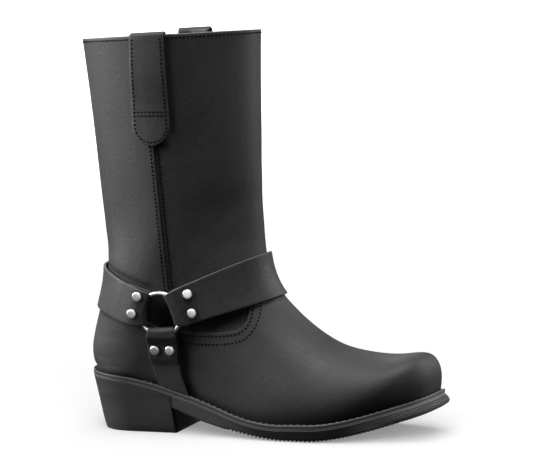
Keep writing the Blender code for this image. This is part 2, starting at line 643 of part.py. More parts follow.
def arm_path(arm, share):
    """Side view path of the line at a share of an arm's half-width, from abreast of the ring's centre."""
    angle = math.radians(arm.angle)
    out = np.array([math.cos(angle), math.sin(angle)])
    over = np.array([-out[1], out[0]]) * (-1.0 if arm is HEEL_ARM else 1.0)
    centre = np.array([RING_X, RING_Z])
    fold = centre + out * arm.fold + over * share * arm.fold_half
    root = centre + out * ROOT_DISTANCE + over * share * arm.root_half
    start = centre + over * share * arm.fold_half
    end = arm_end(arm, share)
    knots = np.array([start, fold, root, end])
    marks = np.array([0.0, arm.fold, ROOT_DISTANCE, ROOT_DISTANCE + np.linalg.norm(end - root)])
    near = np.linspace(0.0, ROOT_DISTANCE, 20, endpoint=False)
    closing = np.sin(np.linspace(0.0, math.pi / 2.0, STRAP_LINE_POINTS))
    far = ROOT_DISTANCE + (marks[-1] - ROOT_DISTANCE) * closing
    places = np.concatenate([near, far])
    return np.stack([np.interp(places, marks, knots[:, i]) for i in (0, 1)], axis=1)


def arm_surface(arm, side):
    """Return a function giving points over an arm: distance from the ring, share across and height."""
    centre, normal, forward, upward = ring_frame(side)
    lines, flats = [], []
    for share in CROSS:
        path = arm_path(arm, share)
        lines.append(skin_line(path, side))
        flats.append(centre + (path[:, :1] - RING_X) * forward + (path[:, 1:] - RING_Z) * upward)
    fine = np.linspace(0.0, 1.0, SURFACE_POINTS)
    lengths = np.array([polyline_length(line) for line in lines])
    base = np.stack([resample(line, fine * length) for line, length in zip(lines, lengths)], axis=1)
    flat = []
    for line, flat_line, length in zip(lines, flats, lengths):
        marks = np.concatenate([[0.0], np.cumsum(np.linalg.norm(np.diff(line, axis=0), axis=1))])
        flat.append(np.stack([np.interp(fine * length, marks, flat_line[:, i]) for i in range(3)], axis=1))
    flat = np.stack(flat, axis=1)
    normals = np.cross(np.gradient(base, axis=0), np.gradient(base, axis=1))
    normals /= np.linalg.norm(normals, axis=2, keepdims=True)
    if (normals[20, 2] @ normal) < 0.0:
        normals = -normals

    def read(grid, position, share):
        line = np.array([np.interp(share, CROSS, grid[:, :, i][index]) for i in range(3)
                         for index in (int(position), min(int(position) + 1, len(fine) - 1))]).reshape(3, 2)
        return line[:, 0] + (line[:, 1] - line[:, 0]) * (position - int(position))

    def at(distance, share, height):
        length = float(np.interp(share, CROSS, lengths))
        position = np.clip(distance / length, 0.0, 1.0) * (len(fine) - 1)
        on_skin = read(base, position, share) + read(normals, position, share) * height
        on_ring = read(flat, position, share) + normal * (height - RING_LIFT)
        follow = float(smooth((distance - PLANE_FROM) / (PLANE_TO - PLANE_FROM)))
        return on_ring + (on_skin - on_ring) * follow

    return at, lengths


def outer_ply(distance):
    """Under face height and thickness of a strap's outer ply at a distance from the ring's centre."""
    over_wire = RING_LIFT + POCKET
    over_ply = STRAP_LIFT + SKIVED_THICKNESS + GAP
    down = over_wire + (over_ply - over_wire) * smooth((distance - WIRE_CREST) / WIRE_SLOPE)
    past_end = (distance - FOLD_END - GAP) / (STRAP_DOWN - FOLD_END - GAP)
    low = down + (STRAP_LIFT - over_ply) * smooth(past_end)
    full = smooth((distance - SKIVE_FROM) / SKIVE_RUN)
    return low, SKIVED_THICKNESS + (STRAP_THICKNESS - SKIVED_THICKNESS) * full


def arm_loops(arm, side, far_steps):
    """Loops of a strap from its folded-back end, round the ring and out along the arm."""
    at, lengths = arm_surface(arm, side)
    turn = arm.fold + POCKET + SKIVED_THICKNESS     # centre of the fold from the ring's centre
    faces = [((distance, STRAP_LIFT), (distance, STRAP_LIFT + SKIVED_THICKNESS))
             for distance in (*FOLD_STATIONS, turn)]
    for angle in np.radians(FOLD_ANGLES):
        faces.append(tuple((turn - radius * math.cos(angle), RING_LIFT + radius * math.sin(angle))
                           for radius in (POCKET + SKIVED_THICKNESS, POCKET)))
    for distance in (turn, *PLY_STATIONS):
        low, thickness = outer_ply(distance)
        faces.append(((distance, low + thickness), (distance, low)))
    loops = []
    for (far_out, high), (near_in, low) in faces:
        fade = float(1.0 - smooth((near_in - turn) / BOW_RUN))
        bow = [arm.bow * share ** 2 * fade for share in CROSS]
        outside = [at(far_out - lean, share, high) for share, lean in zip(CROSS, bow)]
        inside = [at(near_in - lean, share, low) for share, lean in zip(CROSS, bow)]
        loops.append([*outside, *reversed(inside)])
    for step in np.linspace(0.0, 1.0, far_steps + 1)[1:]:
        reach = [STRAP_DOWN + step * (length - STRAP_DOWN) for length in lengths]
        outside, inside = ([at(distance, share, height) for share, distance in zip(CROSS, reach)]
                           for height in (STRAP_LIFT + STRAP_THICKNESS, STRAP_LIFT))
        loops.append([*outside, *reversed(inside)])
    return loops


def joined_arms(arm, far_steps):
    """Loops of a strap that runs from ring to ring, with its two halves meeting in the middle plane."""
    lateral, medial = arm_loops(arm, LATERAL, far_steps), arm_loops(arm, MEDIAL, far_steps)
    meeting = [(np.asarray(a) + np.asarray(b)) / 2.0 for a, b in zip(lateral[-1], medial[-1])]
    return lateral[:-1] + [meeting] + medial[-2::-1]


def make_straps():
    solid("instep_strap", joined_arms(INSTEP_ARM, FAR_STEPS), "leather")
    solid("heel_strap", joined_arms(HEEL_ARM, FAR_STEPS), "leather")
    for side, name in SIDE_NAMES.items():
        solid("sole_strap_" + name, arm_loops(SOLE_ARM, side, SOLE_FAR_STEPS), "leather")


def make_rings():
    for side, name in SIDE_NAMES.items():
        centre, normal, forward, upward = ring_frame(side)
        loops = []
        for turn in np.linspace(0.0, 2.0 * math.pi, RING_SIDES, endpoint=False):
            out = forward * math.cos(turn) + upward * math.sin(turn)
            wire = centre + out * RING_RADIUS
            angles = np.linspace(0.0, 2.0 * math.pi, WIRE_SIDES, endpoint=False)
            loops.append([wire + WIRE_RADIUS * (out * math.cos(a) + normal * math.sin(a)) for a in angles])
        solid("ring_" + name, loops, "nickel", closed=True)


def make_rivet(name, seat, normal):
    """Domed rivet head standing on a strap."""
    across = np.cross(normal, (0.0, 0.0, 1.0))
    across /= np.linalg.norm(across)
    other = np.cross(normal, across)
    loops = []
    for radius, height in RIVET_PROFILE:
        turns = np.linspace(0.0, 2.0 * math.pi, RIVET_SIDES, endpoint=False)
        loops.append([seat + normal * height + radius * (across * math.cos(turn) + other * math.sin(turn))
                      for turn in turns])
    solid(name, loops, "nickel")


def make_rivets():
    for arm in (INSTEP_ARM, HEEL_ARM, SOLE_ARM):
        low, thickness = outer_ply(arm.rivet)
        for side, side_name in SIDE_NAMES.items():
            at, _ = arm_surface(arm, side)
            share = arm.rivet_half / arm.root_half
            for end, end_name in ((-share, "a"), (share, "b")):
                height = float(low + thickness)
                point = at(arm.rivet, end, height)
                along = at(arm.rivet + 3.0, end, height) - at(arm.rivet - 3.0, end, height)
                over = at(arm.rivet, end + 0.2, height) - at(arm.rivet, end - 0.2, height)
                normal = np.cross(along, over)
                normal /= np.linalg.norm(normal)
                if normal[1] * side < 0.0:
                    normal = -normal
                make_rivet(f"rivet_{arm.name}_{side_name}_{end_name}", point + normal * GAP, normal)


# Pull loops and piping

def rim_height(x):
    """Height of the collar at x."""
    front, back = SECTIONS[-1].top_x, SECTIONS[-1].foot_x
    return SECTIONS[-1].foot_z + (x - back) / (front - back) * (SECTIONS[-1].top_z - SECTIONS[-1].foot_z)


def loop_half(z):
    """Half-width of a pull loop at a height, with its round lower end."""
    round_share = np.clip((LOOP_FOOT + LOOP_ROUND - z) / LOOP_ROUND, 0.0, 0.985)
    height_share = (z - LOOP_FOOT) / (rim_height(LOOP_X) - LOOP_FOOT)
    half = LOOP_HALF_LOW + (LOOP_HALF_HIGH - LOOP_HALF_LOW) * height_share
    return half * math.sqrt(1.0 - round_share ** 2)


def loop_point(x, z, lift, side):
    """Point over the skin at a height, carried straight up past the rim and slanting with it."""
    rim = rim_height(LOOP_X)
    low = min(z, rim - RIM_MARGIN)
    point, normal = skin_point(x, low, side)
    tilt = (rim_height(x) - rim) * float(z >= rim - RIM_MARGIN)
    return point + normal * lift + np.array([0.0, 0.0, z - low + tilt])


def make_pull_loop(side):
    rim = rim_height(LOOP_X)
    inside_lift = SHAFT_WALL + 2.0 * GAP
    faces = []      # half-width, height and lift of the outside face, then height and lift of the inside face
    for z in (*LOOP_STATIONS, rim - RIM_MARGIN):
        off = float(smooth((z - LOOP_LIFT_FROM) / (rim - LOOP_LIFT_FROM)))
        lift = LOOP_LIFT_LOW + (LOOP_LIFT_HIGH - LOOP_LIFT_LOW) * off
        faces.append((loop_half(z), z, lift + LOOP_THICKNESS, z, lift))
    centre, reach = (LOOP_LIFT_HIGH - inside_lift) / 2.0, (LOOP_LIFT_HIGH + inside_lift) / 2.0
    for turn in np.radians(LOOP_TURNS):
        rise, swing = math.sin(turn), math.cos(turn)
        high, low = (rim + rise * (LOOP_RISE[side] + ply) for ply in (LOOP_THICKNESS, 0.0))
        far, near = (centre + swing * (reach + ply) for ply in (LOOP_THICKNESS, 0.0))
        faces.append((LOOP_HALF_HIGH, high, far, low, near))
    for share in (1.0 / 3.0, 2.0 / 3.0, 1.0):
        z = rim - share * LOOP_INSIDE
        faces.append((LOOP_HALF_HIGH, z, -inside_lift - LOOP_THICKNESS, z, -inside_lift))
    loops = []
    for half, high_z, high_lift, low_z, low_lift in faces:
        across = [LOOP_X + share * half for share in CROSS]
        outside = [loop_point(x, high_z, high_lift, side) for x in across]
        inside = [loop_point(x, low_z, low_lift, side) for x in across]
        loops.append([*outside, *reversed(inside)])
    solid("pull_loop_" + SIDE_NAMES[side], loops, "leather")


def make_piping(side):
    loops = []
    (top_x, top_z), (foot_x, foot_z) = PIPING_TOP, PIPING_FOOT
    for share in np.linspace(0.0, 1.0, PIPING_STEPS + 1):
        x, z = top_x + share * (foot_x - top_x), top_z + share * (foot_z - top_z)
        loop = []
        for offset, height in PIPING_PROFILE:
            point, normal = skin_point(x + offset, z, side)
            loop.append(point + normal * height)
        loops.append(loop)
    solid("side_piping_" + SIDE_NAMES[side], loops, "leather")


make_outsole()
make_welt()
make_insole()
make_upper()
make_straps()
make_rings()
make_rivets()
for boot_side in (LATERAL, MEDIAL):
    make_pull_loop(boot_side)
    make_piping(boot_side)
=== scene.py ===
"""Looks of a harness boot for the right foot, made round its packed solids.

Shapes are worked out in millimetres in the shoe's own frame: x runs from the back of the heel to the toe,
y to the medial side and z up from the floor. place() turns them into metres in the packed model's frame.
"""
import math
from collections import namedtuple

import bmesh
import bpy
import numpy as np
from bpy.props import FloatProperty, FloatVectorProperty, PointerProperty
from mathutils import Matrix, Vector


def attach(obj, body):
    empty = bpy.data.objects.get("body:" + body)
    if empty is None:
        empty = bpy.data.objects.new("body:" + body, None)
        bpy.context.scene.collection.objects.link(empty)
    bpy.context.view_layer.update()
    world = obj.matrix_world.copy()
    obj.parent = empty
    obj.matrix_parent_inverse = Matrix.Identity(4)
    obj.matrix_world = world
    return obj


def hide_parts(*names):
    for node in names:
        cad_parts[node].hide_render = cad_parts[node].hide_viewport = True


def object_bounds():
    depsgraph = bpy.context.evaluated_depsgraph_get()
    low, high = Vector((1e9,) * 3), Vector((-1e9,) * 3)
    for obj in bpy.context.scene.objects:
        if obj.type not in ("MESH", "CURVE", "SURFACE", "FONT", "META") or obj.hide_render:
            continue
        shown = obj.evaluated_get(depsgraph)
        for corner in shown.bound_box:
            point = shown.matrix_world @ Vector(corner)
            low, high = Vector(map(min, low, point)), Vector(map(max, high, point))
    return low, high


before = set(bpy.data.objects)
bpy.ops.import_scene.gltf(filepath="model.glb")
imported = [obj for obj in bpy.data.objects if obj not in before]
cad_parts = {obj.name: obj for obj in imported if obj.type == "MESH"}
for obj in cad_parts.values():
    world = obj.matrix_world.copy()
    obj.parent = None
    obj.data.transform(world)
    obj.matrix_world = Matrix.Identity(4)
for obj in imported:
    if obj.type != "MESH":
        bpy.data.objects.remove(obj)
CAD_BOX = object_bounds()

bl_info = {
    "name": "Harness boot",
    "version": (1, 0, 0),
    "blender": (4, 5, 0),
    "location": "View3D > Sidebar > Boot",
    "description": "Leather, straps, nickel, stitching and sole of a harness boot",
    "category": "Object",
}

MM = 0.001
GAP = 0.3  # clearance between pieces that meet
CENTRE_X = 145.0  # shoe x of the model's origin
LATERAL, MEDIAL = -1, 1  # sign of y on each side
SIDE_NAMES = {LATERAL: "lateral", MEDIAL: "medial"}

# Sole: length, heel and the curve of its under side
LENGTH = 291.0
BREAST_X = 79.0  # front face of the heel, at the shank
BREAST_LEAN = 2.2  # how far that face leans forward at the floor
BREAST_STEP = 0.6  # first station of the shank in front of it
BREAST_HEIGHT = 19.0  # shank above the floor at the breast
FLAT_FROM, FLAT_TO = 172.0, 196.0
TOE_SPRING = 22.0  # under side above the floor at the toe
SOLE_CURVE = 1.5  # power of the shank and toe curves
STACK = 13.0  # outsole and welt together
# How far the welt's line lies over an even stack, by x: high at the waist and low before the ball
WELT_LIFT = (
    (0, 0.0), (15, 0.2), (38, 1.8), (60, 2.8), (82, 3.1), (98, 3.2), (110, 2.5), (120, 1.5),
    (130, 0.2), (142, -0.9), (155, -1.2), (172, -0.7), (190, 0.0), (210, 0.0), (235, 0.0), (300, 0.0),
)
SHANK_LIFT, SHANK_RUN = 1.7, 28.0  # rise of the shank at the breast, and over what length
WELT_THICKNESS = 3.7
OUTSOLE_EDGE = STACK - WELT_THICKNESS - GAP
SEAT_HEIGHT = 48.0  # top of the welt at the back of the heel
HEEL_FOOT_BACK = 8.8  # back of the heel on the floor
HEEL_TAPER = 0.88  # width of the heel at the floor against its top
HEEL_CHAMFER = 0.9
EDGE_CHAMFER = 1.0  # under edge of the outsole
TOE_CHAMFER = 2.4  # added at the toe, where the edge is bevelled
TOE_BEVEL_RUN = 18.0  # length over which it is added
EDGE_GROOVES = (1.7, 3.4, 5.1, 6.8)  # fine grooves round the outsole's edge, below its top
GROOVE_HALF = 0.5
GROOVE_FROM, GROOVE_RUN = 222.0, 36.0  # where they start, and over what length
HEEL_BAND = 3.9  # upright band over the heel block
TOE_FLARE, FLARE_DEPTH, FLARE_POWER = 2.2, 5.5, 1.5  # the edge's lean back at the toe, its height and curve
DARK_FROM, DARK_RUN = 105.0, 60.0  # where painted shade starts on the edge, towards the ball
TREAD_FROM, TREAD_TO = 126.0, 272.0
TREAD_RUN = 6.0  # length over which the tread's ground rises into the sole
LIP_HIGHLIGHT = 0.8  # painted highlight on the upper lip of the edge
LOW_RUN, TOE_LOW_RUN = 1.0, 1.6  # height of the rounded lower edge, and what the toe adds to it
HEEL_STATIONS, BLOCK_STATIONS, FRONT_STATIONS = 30, 16, 90
WELT_STATIONS, TOE_STATIONS = 80, 40
SOLE_COLUMNS, INSOLE_COLUMNS = 9, 17  # points from edge to edge, with the edges
TOE_CROWDING = 1.25  # how much closer the stations stand at the toe's middle

# Plan of the feather line, where the upper meets the welt
FEATHER_BACK, FEATHER_TOE = 5.0, 283.0
RIB_LAST_X = FEATHER_TOE - 1.0  # foremost place where a rib's width is read
HEEL_ROUND_X, TOE_ROUND_X = 38.0, 255.0  # where the round heel ends and the square toe begins
HEEL_POWER, TOE_POWER = 2.2, 4.0
TOE_TAPER = 0.25
TOE_SLANT = 0.10  # the toe runs further forward on the medial side
SLANT_FROM, SLANT_TO = 200.0, 270.0
WELT_REACH = 5.0  # welt beyond the upper at the sides
TOE_REACH, HEEL_REACH = 1.55, 0.6  # the same at toe and heel, as shares
WELT_TOE_INSET = 2.3  # welt behind the outsole's edge at the toe
WELT_STITCH_GROW = 2.7  # welt stitches outside the feather line
WELT_LIP = 1.7  # least distance of the stitches from the welt's edge
WELT_STITCH_FROM = 56.0  # where they start on each side
WELT_STITCH_SINK = 0.2  # how far they lie in the welt

Plan = namedtuple("Plan", "name x lateral medial")
PLAN = (
    Plan("back", 0, 29.5, 29.5),
    Plan("seat", 38, 30.5, 30.5),
    Plan("breast", 80, 32.0, 29.5),
    Plan("waist", 112, 35.5, 28.2),
    Plan("shank", 148, 41.7, 33.2),
    Plan("ball_lateral", 190, 46.0, 41.5),
    Plan("ball_medial", 214, 44.7, 43.6),
    Plan("toe_root", 240, 38.8, 39.2),
    Plan("toe", TOE_ROUND_X, 33.5, 34.0),
)

# Sections of the last from toe to collar. Each one lies in the plane through its top point, on the front
# line of the boot, and its foot point, on the feather line or, past the heel, on the back line.
# lateral, medial: greatest half-widths; widest: how far up they lie; crown: squareness; taper: narrowing.
Section = namedtuple("Section", "name top_x top_z foot_x foot_z lateral medial widest crown taper")
ON_FEATHER = None
SECTIONS = (
    Section("toe_edge", 283.0, 33.6, 255, ON_FEATHER, 33.5, 34.0, 0.01, 4.0, 0.25),
    Section("toe_face", 283.4, 46.5, 252, ON_FEATHER, 35.0, 35.5, 0.12, 3.6, 0.18),
    Section("toe_bend", 279.6, 58.0, 247, ON_FEATHER, 36.8, 37.4, 0.17, 3.0, 0.10),
    Section("toe_top", 270.0, 62.0, 240, ON_FEATHER, 39.4, 40.0, 0.18, 2.55, 0.04),
    Section("toe_box", 252.0, 60.4, 228, ON_FEATHER, 43.0, 43.2, 0.18, 2.3, 0.0),
    Section("vamp", 228.0, 62.4, 212, ON_FEATHER, 46.2, 45.0, 0.2, 2.15, 0.0),
    Section("ball", 206.0, 69.0, 192, ON_FEATHER, 47.6, 43.5, 0.23, 2.0, 0.0),
    Section("cone", 186.0, 82.0, 170, ON_FEATHER, 46.5, 40.5, 0.27, 1.92, 0.0),
    Section("instep", 171.0, 95.6, 146, ON_FEATHER, 43.5, 37.6, 0.33, 1.9, 0.0),
    Section("throat", 158.0, 110.5, 118, ON_FEATHER, 40.2, 36.6, 0.40, 1.95, 0.0),
    Section("bend", 150.8, 126.5, 86, ON_FEATHER, 38.8, 37.0, 0.45, 2.0, 0.0),
    Section("quarter", 148.2, 142.0, 52, ON_FEATHER, 39.2, 38.5, 0.48, 2.0, 0.0),
    Section("counter", 147.6, 156.0, 22, ON_FEATHER, 40.4, 40.1, 0.49, 2.0, 0.0),
    Section("seat", 147.1, 168.0, 8, ON_FEATHER, 41.4, 41.3, 0.49, 2.0, 0.0),
    Section("heel_edge", 146.8, 178.0, FEATHER_BACK, ON_FEATHER, 42.1, 42.1, 0.49, 2.0, 0.0),
    Section("heel_bulge", 146.6, 190.0, 1.6, 66.0, 43.2, 43.2, 0.49, 2.0, 0.0),
    Section("heel_top", 146.5, 204.0, 10.2, 98.0, 44.3, 44.3, 0.5, 2.0, 0.0),
    Section("ankle", 146.5, 219.0, 17.8, 132.0, 45.6, 45.6, 0.5, 2.0, 0.0),
    Section("calf_low", 146.7, 240.0, 15.2, 174.0, 47.0, 47.0, 0.5, 2.05, 0.0),
    Section("calf", 147.0, 264.0, 11.8, 214.0, 48.6, 48.6, 0.5, 2.05, 0.0),
    Section("calf_high", 147.6, 290.0, 7.5, 263.0, 50.2, 50.2, 0.5, 2.05, 0.0),
    Section("collar", 148.5, 315.0, 2.3, 311.0, 51.5, 51.5, 0.5, 2.05, 0.0),
)
INSTEP_FROM = 5  # row of SECTIONS from which the front line only rises
HEEL_EDGE = 14  # row of SECTIONS at the back end of the feather line
# Heel: level sections from the back line to HEEL_SPAN, their squareness by height, and where they end
HEEL_SPAN, HEEL_BLEND = 60.0, 25.0
HEEL_SQUARENESS = ((48.0, 2.3), (58.0, 2.06), (75.0, 1.9), (120.0, 1.86), (150.0, 1.95))
HEEL_TOP, HEEL_FADE, HEEL_FOOT = 165.0, 35.0, 8.0
SECTION_STEPS = 36  # sections worked out between two rows
CHUNK = 4000  # points whose section is looked up at once
SLOPE_STEP = 2.0  # distance over which the skin's slope is read

# Shaft panels: how far they lie inside the last between the side seams, and the heights where that begins
FRONT_DIP, BACK_DIP = 2.9, 1.5
PANEL_FROM, PANEL_TO = 128.0, 180.0

# Upper: wall, the step of the foot leather over the shaft, and the mesh rows
SHAFT_WALL = 1.8
FOOT_STEP = 1.0
HALF_COLUMNS = 105  # columns from back to front on each side
COLUMN_CROWDING = 0.45  # share of the columns drawn to the toe and the heel
ROW_POINTS = 420  # points along a row before its columns are set
FOOT_ROWS, SHAFT_ROWS = 84, 88
INNER_STRIDE = 3  # rows of the outside for one row of the lining
EDGE_BACK, EDGE_FRONT = 16.6, 9.8  # places of the vamp edge along SECTIONS, back and front
EDGE_REACH = 3.0  # how fast rows forget the vamp edge's dip
Corner = namedtuple("Corner", "name x z")
VAMP_EDGE = (
    Corner("under_heel_strap", 45, 103),
    Corner("beside_ring", 60, 91.5),
    Corner("under_ring", 76, 84),
    Corner("notch_back", 96, 82),
    Corner("notch_floor", 126, 82),
    Corner("notch_corner", 141.5, 87),
    Corner("notch_front", 144.6, 97),
    Corner("under_instep_strap", 143.8, 110),
)
# Profile of the vamp's edge: distance down from it, and share of the step
EDGE_PROFILE = ((1.3, 1.0), (0.7, 0.97), (0.3, 0.85), (0.08, 0.6), (0.0, 0.3), (0.0, -0.3), (-0.5, -0.25))
EDGE_SKIPPED = 2  # rows on each side that the profile takes the place of
RIM_PROFILE = ((0.7, 0.0), (0.2, 0.12), (0.0, 0.55), (0.0, 1.25), (0.2, 1.68), (0.7, 1.8))
VAMP_ROWS = (3.0, 9.2)  # stitch rows below the vamp's edge
VAMP_ROW_FROM, VAMP_ROW_TOP = 70.0, 112.0  # they end under the ring and under the instep strap
VAMP_ROW_SQUEEZE = 0.85  # share of their distance in front of the notch
COLLAR_ROW = 2.6  # stitch row below the rim
RIM_LINED = 2  # rows of the rim that have the lining's finish

# Strokes on the skin, laid out in the side view and fading out over their width
Stroke = namedtuple("Stroke", "name sides x z end_x end_z depth width")
STROKE_FADE = 2.5  # length of a stroke's fading ends, in widths
SIDE_FADE = 12.0  # width over which a stroke of one side fades at the middle plane
CALM_ROWS = 6.0  # rows over the feather line in which the creases set in
BOTH = (LATERAL, MEDIAL)
# Soft troughs (depth above 0) and ridges of the leather
CREASES = (
    Stroke("over_heel_strap", BOTH, 14, 148, 44, 142, 0.3, 7.0),
    Stroke("over_heel_ridge", BOTH, 14, 163, 40, 158, -0.25, 8.0),
    Stroke("over_instep_strap", BOTH, 148, 154, 112, 148, 0.3, 7.0),
    Stroke("ankle_front", BOTH, 148, 184, 108, 178, 0.45, 12.0),
    Stroke("shaft_fall", (LATERAL,), 42, 250, 54, 180, 0.4, 11.0),
    Stroke("shaft_fall_front", (LATERAL,), 112, 250, 108, 190, 0.3, 11.0),
    Stroke("shaft_fall_inside", (MEDIAL,), 46, 250, 54, 190, 0.45, 10.0),
    Stroke("shaft_wave_inside", (MEDIAL,), 96, 206, 147, 212, 0.3, 10.0),
    Stroke("collar_dip", BOTH, 112, 300, 126, 268, 0.3, 11.0),
    Stroke("notch_floor", BOTH, 98, 93, 138, 97, 1.0, 6.5),
    Stroke("vamp_break", BOTH, 207, 66, 190, 48, 0.12, 5.0),
)
# Painted shade where shadow falls: in the ring, under and beside the straps and round the pull loops. depth
# is how dark it is, up to 1
SHADES = (
    Stroke("in_ring", BOTH, 75, 107, 79, 84, 1.0, 9.5),
    Stroke("under_instep_strap", BOTH, 94, 89, 146, 102.5, 1.0, 6.0),
    Stroke("beside_sole_strap", BOTH, 88.5, 86, 97.0, 28, 1.0, 5.0),
    Stroke("under_heel_strap", BOTH, 12, 95, 57, 86.5, 0.8, 2.4),
    Stroke("over_heel_strap", BOTH, 19, 134, 69, 118, 0.9, 2.2),
    Stroke("beside_loop", BOTH, 92.4, 236, 90.4, 313, 1.0, 3.6),
    Stroke("under_loop", BOTH, 74, 227, 88, 229, 0.9, 3.2),
)
# Painted shade in the notch under the instep strap
NOTCH_SHADES = (Stroke("in_notch", BOTH, 80, 87, 152, 97, 1.0, 8.5),)  # only over the vamp's edge
# Painted shade along the feather line, where the upper meets the welt in shadow: its height over the welt at
# x
FEATHER_SHADE = ((0, 4.6), (60, 4.8), (110, 6.2), (145, 8.0), (175, 12.0), (225, 14.0), (252, 13.0),
                 (268, 6.0), (278, 2.0))

# Insole
INSOLE_INSET = 2.7
INSOLE_RISE = 2.6  # top of the insole above the top of the welt
INSOLE_CUP = 0.9  # rise of its edge
CUP_FROM = 12.0  # half-width from which the rise is full
INSOLE_STATIONS = (20, 60, 24)

# Harness: ring, straps and rivets on each side
RING_X, RING_Z = 78.0, 96.6
RING_RADIUS = 16.9  # middle of the wire
RING_BACK = 1.5  # how far it lies behind the middle of the harness, drawn by the heel strap
WIRE_RADIUS = 1.6
RING_SIDES, WIRE_SIDES = 96, 18
STRAP_LIFT = 1.6  # strap above the shaft, clear of the foot leather
STRAP_THICKNESS = 2.4
SKIVED_THICKNESS = 1.7  # where the strap's end is folded round the ring
POCKET = 2.0  # half the room for the wire inside the fold
RING_LIFT = STRAP_LIFT + SKIVED_THICKNESS + POCKET
FOLD_END = 33.5  # end of the folded-back ply, from the ring's centre
PLANE_FROM = 19.0  # strap flat with the ring up to here
STRAP_LINE_POINTS = 150

# angle: from forward, in the side view. fold, bow, tilt: the visible fold's distance from the harness's
# middle, its curve and its slant. fold_half, shift: the fold's half-width and how far it lies to one side.
# root_half, sway: the same beyond the ring. bend: how far the strap bends to one side on its way out.
# rivet, rivet_half, rivet_shift, skew: the two rivets' mean distance out, half their distance apart, how
# far they lie to one side, and half of how much further out the second is.
# slope: length over which the outer ply comes down behind the wire. down: where it lies on the boot.
# taut: distance over which the strap leaves the ring's plane and follows the boot.
Arm = namedtuple("Arm", "name angle fold bow tilt fold_half shift root_half sway bend"
                        " rivet rivet_half rivet_shift skew slope down taut")
INSTEP_ARM = Arm("instep", 20.0, 7.5, 0.9, -0.3, 12.4, 0.9, 14.8, 0.0, 0.0,
                 24.6, 7.3, 0.0, 1.0, 9.0, 60.0, 13.0)
HEEL_ARM = Arm("heel", 158.0, 11.9, 2.4, -1.8, 12.4, -1.3, 14.6, -1.5, 0.0,
               22.9, 7.2, 1.4, 0.0, 17.0, 56.0, 27.0)
SOLE_ARM = Arm("sole", 269.0, 10.4, 0.4, 0.8, 10.6, -0.9, 12.1, -0.9, -2.7,
               28.8, 6.4, 0.4, 0.0, 8.0, 43.0, 13.0)
ARMS = (INSTEP_ARM, HEEL_ARM, SOLE_ARM)
ROOT_DISTANCE = 16.0
WIRE_CREST = 0.7  # outer ply past the wire before it starts down
SKIVE_FROM, SKIVE_RUN = 14.0, 20.0  # where the ply thickens, and over what length
BOW_RUN = 8.0  # length over which the fold's curve fades
FOLD_STEPS, TURN_STEPS, PLY_STEPS = 12, 17, 44
FAR_STEPS, SOLE_FAR_STEPS = 60, 24
ARM_SHARES = np.linspace(-1.0, 1.0, 21)  # lines along a strap, as shares of its half-width
SURFACE_POINTS = 220  # points worked out along an arm
NEAR_POINTS = 20  # points of a strap's line inside ROOT_DISTANCE
FACING_ROW = 30  # row of a surface that faces as the ring does
INSTEP_LOW, INSTEP_HIGH = 105.5, 140.5  # strap edges on the front line
HEEL_LOW, HEEL_HIGH = 97.5, 132.0  # strap edges on the back line
SOLE_STRAP_X, SOLE_STRAP_HALF = 82.2, 11.8  # foot of the sole strap at the welt
SOLE_STRAP_RISE = 1.8  # its skin side above the welt, as the skin leans out there
STRAP_EDGE = 0.8  # rounding of a strap's cut edge
EDGE_POWER = 2.6  # squareness of that rounding
ACROSS_POINTS, THROUGH_POINTS = 17, 7  # points of a strap's section on a face and on a cut edge
STRAP_RAW, LOOP_RAW = 0.25, 0.2  # how much of the raw leather's colour the cut edges show
STRAP_GRAIN, STRAP_POLISH = 1.15, 0.04  # coarser and less dull than the upper

# Radius and height of a rivet's cap, from its middle to below its rim
RIVET_PROFILE = ((0.0, 1.25), (1.4, 1.24), (2.5, 1.19), (3.15, 1.08), (3.5, 0.92), (3.72, 0.7),
                 (3.82, 0.46), (3.92, 0.4), (4.1, 0.39), (4.2, 0.28), (4.2, 0.1), (4.2, -0.35))
RIVET_SIDES = 28
SEAT_REACH, SEAT_SHARE = 3.0, 0.2  # distance and share about a rivet over which its seat's slope is read
RIVET_FACE, FACE_FADE = 3.7, 0.3  # radius where the painted shade round its rim begins, and over what width

# Pull loops and side piping
LOOP_X = 76.0
LOOP_FOOT, LOOP_ROUND = 228.4, 15.0  # lower end and the height of its round
LOOP_HALF_LOW, LOOP_HALF_HIGH = 15.6, 13.6
LOOP_THICKNESS = 2.2
LOOP_LIFT_LOW, LOOP_LIFT_HIGH = 0.6, 1.7
LOOP_LIFT_FROM = 254.0  # cross seam, above which the loop stands off
LOOP_BULGE = 0.9  # how far it bulges between the seam and the rim
RIM_MARGIN = 3.0  # where the loop leaves the skin, below the rim
LOOP_INSIDE = 46.0  # length of the loop inside the shaft
LOOP_RISE = {LATERAL: 0.3, MEDIAL: 2.2}  # room between the rim and the loop over it
LOOP_STITCH_INSET = 2.4
LOOP_BLUNT = 0.985  # share of the round at which the loop's end is cut off
LOOP_END_STEPS, LOOP_SIDE_STEPS, LOOP_TURN_STEPS, LOOP_INSIDE_STEPS = 14, 46, 22, 12
CROSS_SEAMS = (254.4, 251.4)
ROUND_POINTS, SIDE_POINTS, CROSS_POINTS = 40, 60, 30  # points of a pull loop's stitch rows
PIPING_TOP, PIPING_FOOT = (76.9, 227.6), (82.6, 116.0)
PIPING_STEPS, PIPING_SIDES = 80, 9
PIPING_POWER = 0.8  # squareness of its section
PIPING_DULL = 0.9  # its roughness
PIPING_HALF, PIPING_BASE, PIPING_HEIGHT = 1.3, 0.3, 1.05
SEAM_OFFSETS = (-3.3, 3.3)  # stitch rows beside the piping
SEAM_TOP, SEAM_FOOT = 227.0, 112.0


def smooth(share):
    """Ease from 0 to 1."""
    share = np.clip(share, 0.0, 1.0)
    return share * share * (3.0 - 2.0 * share)


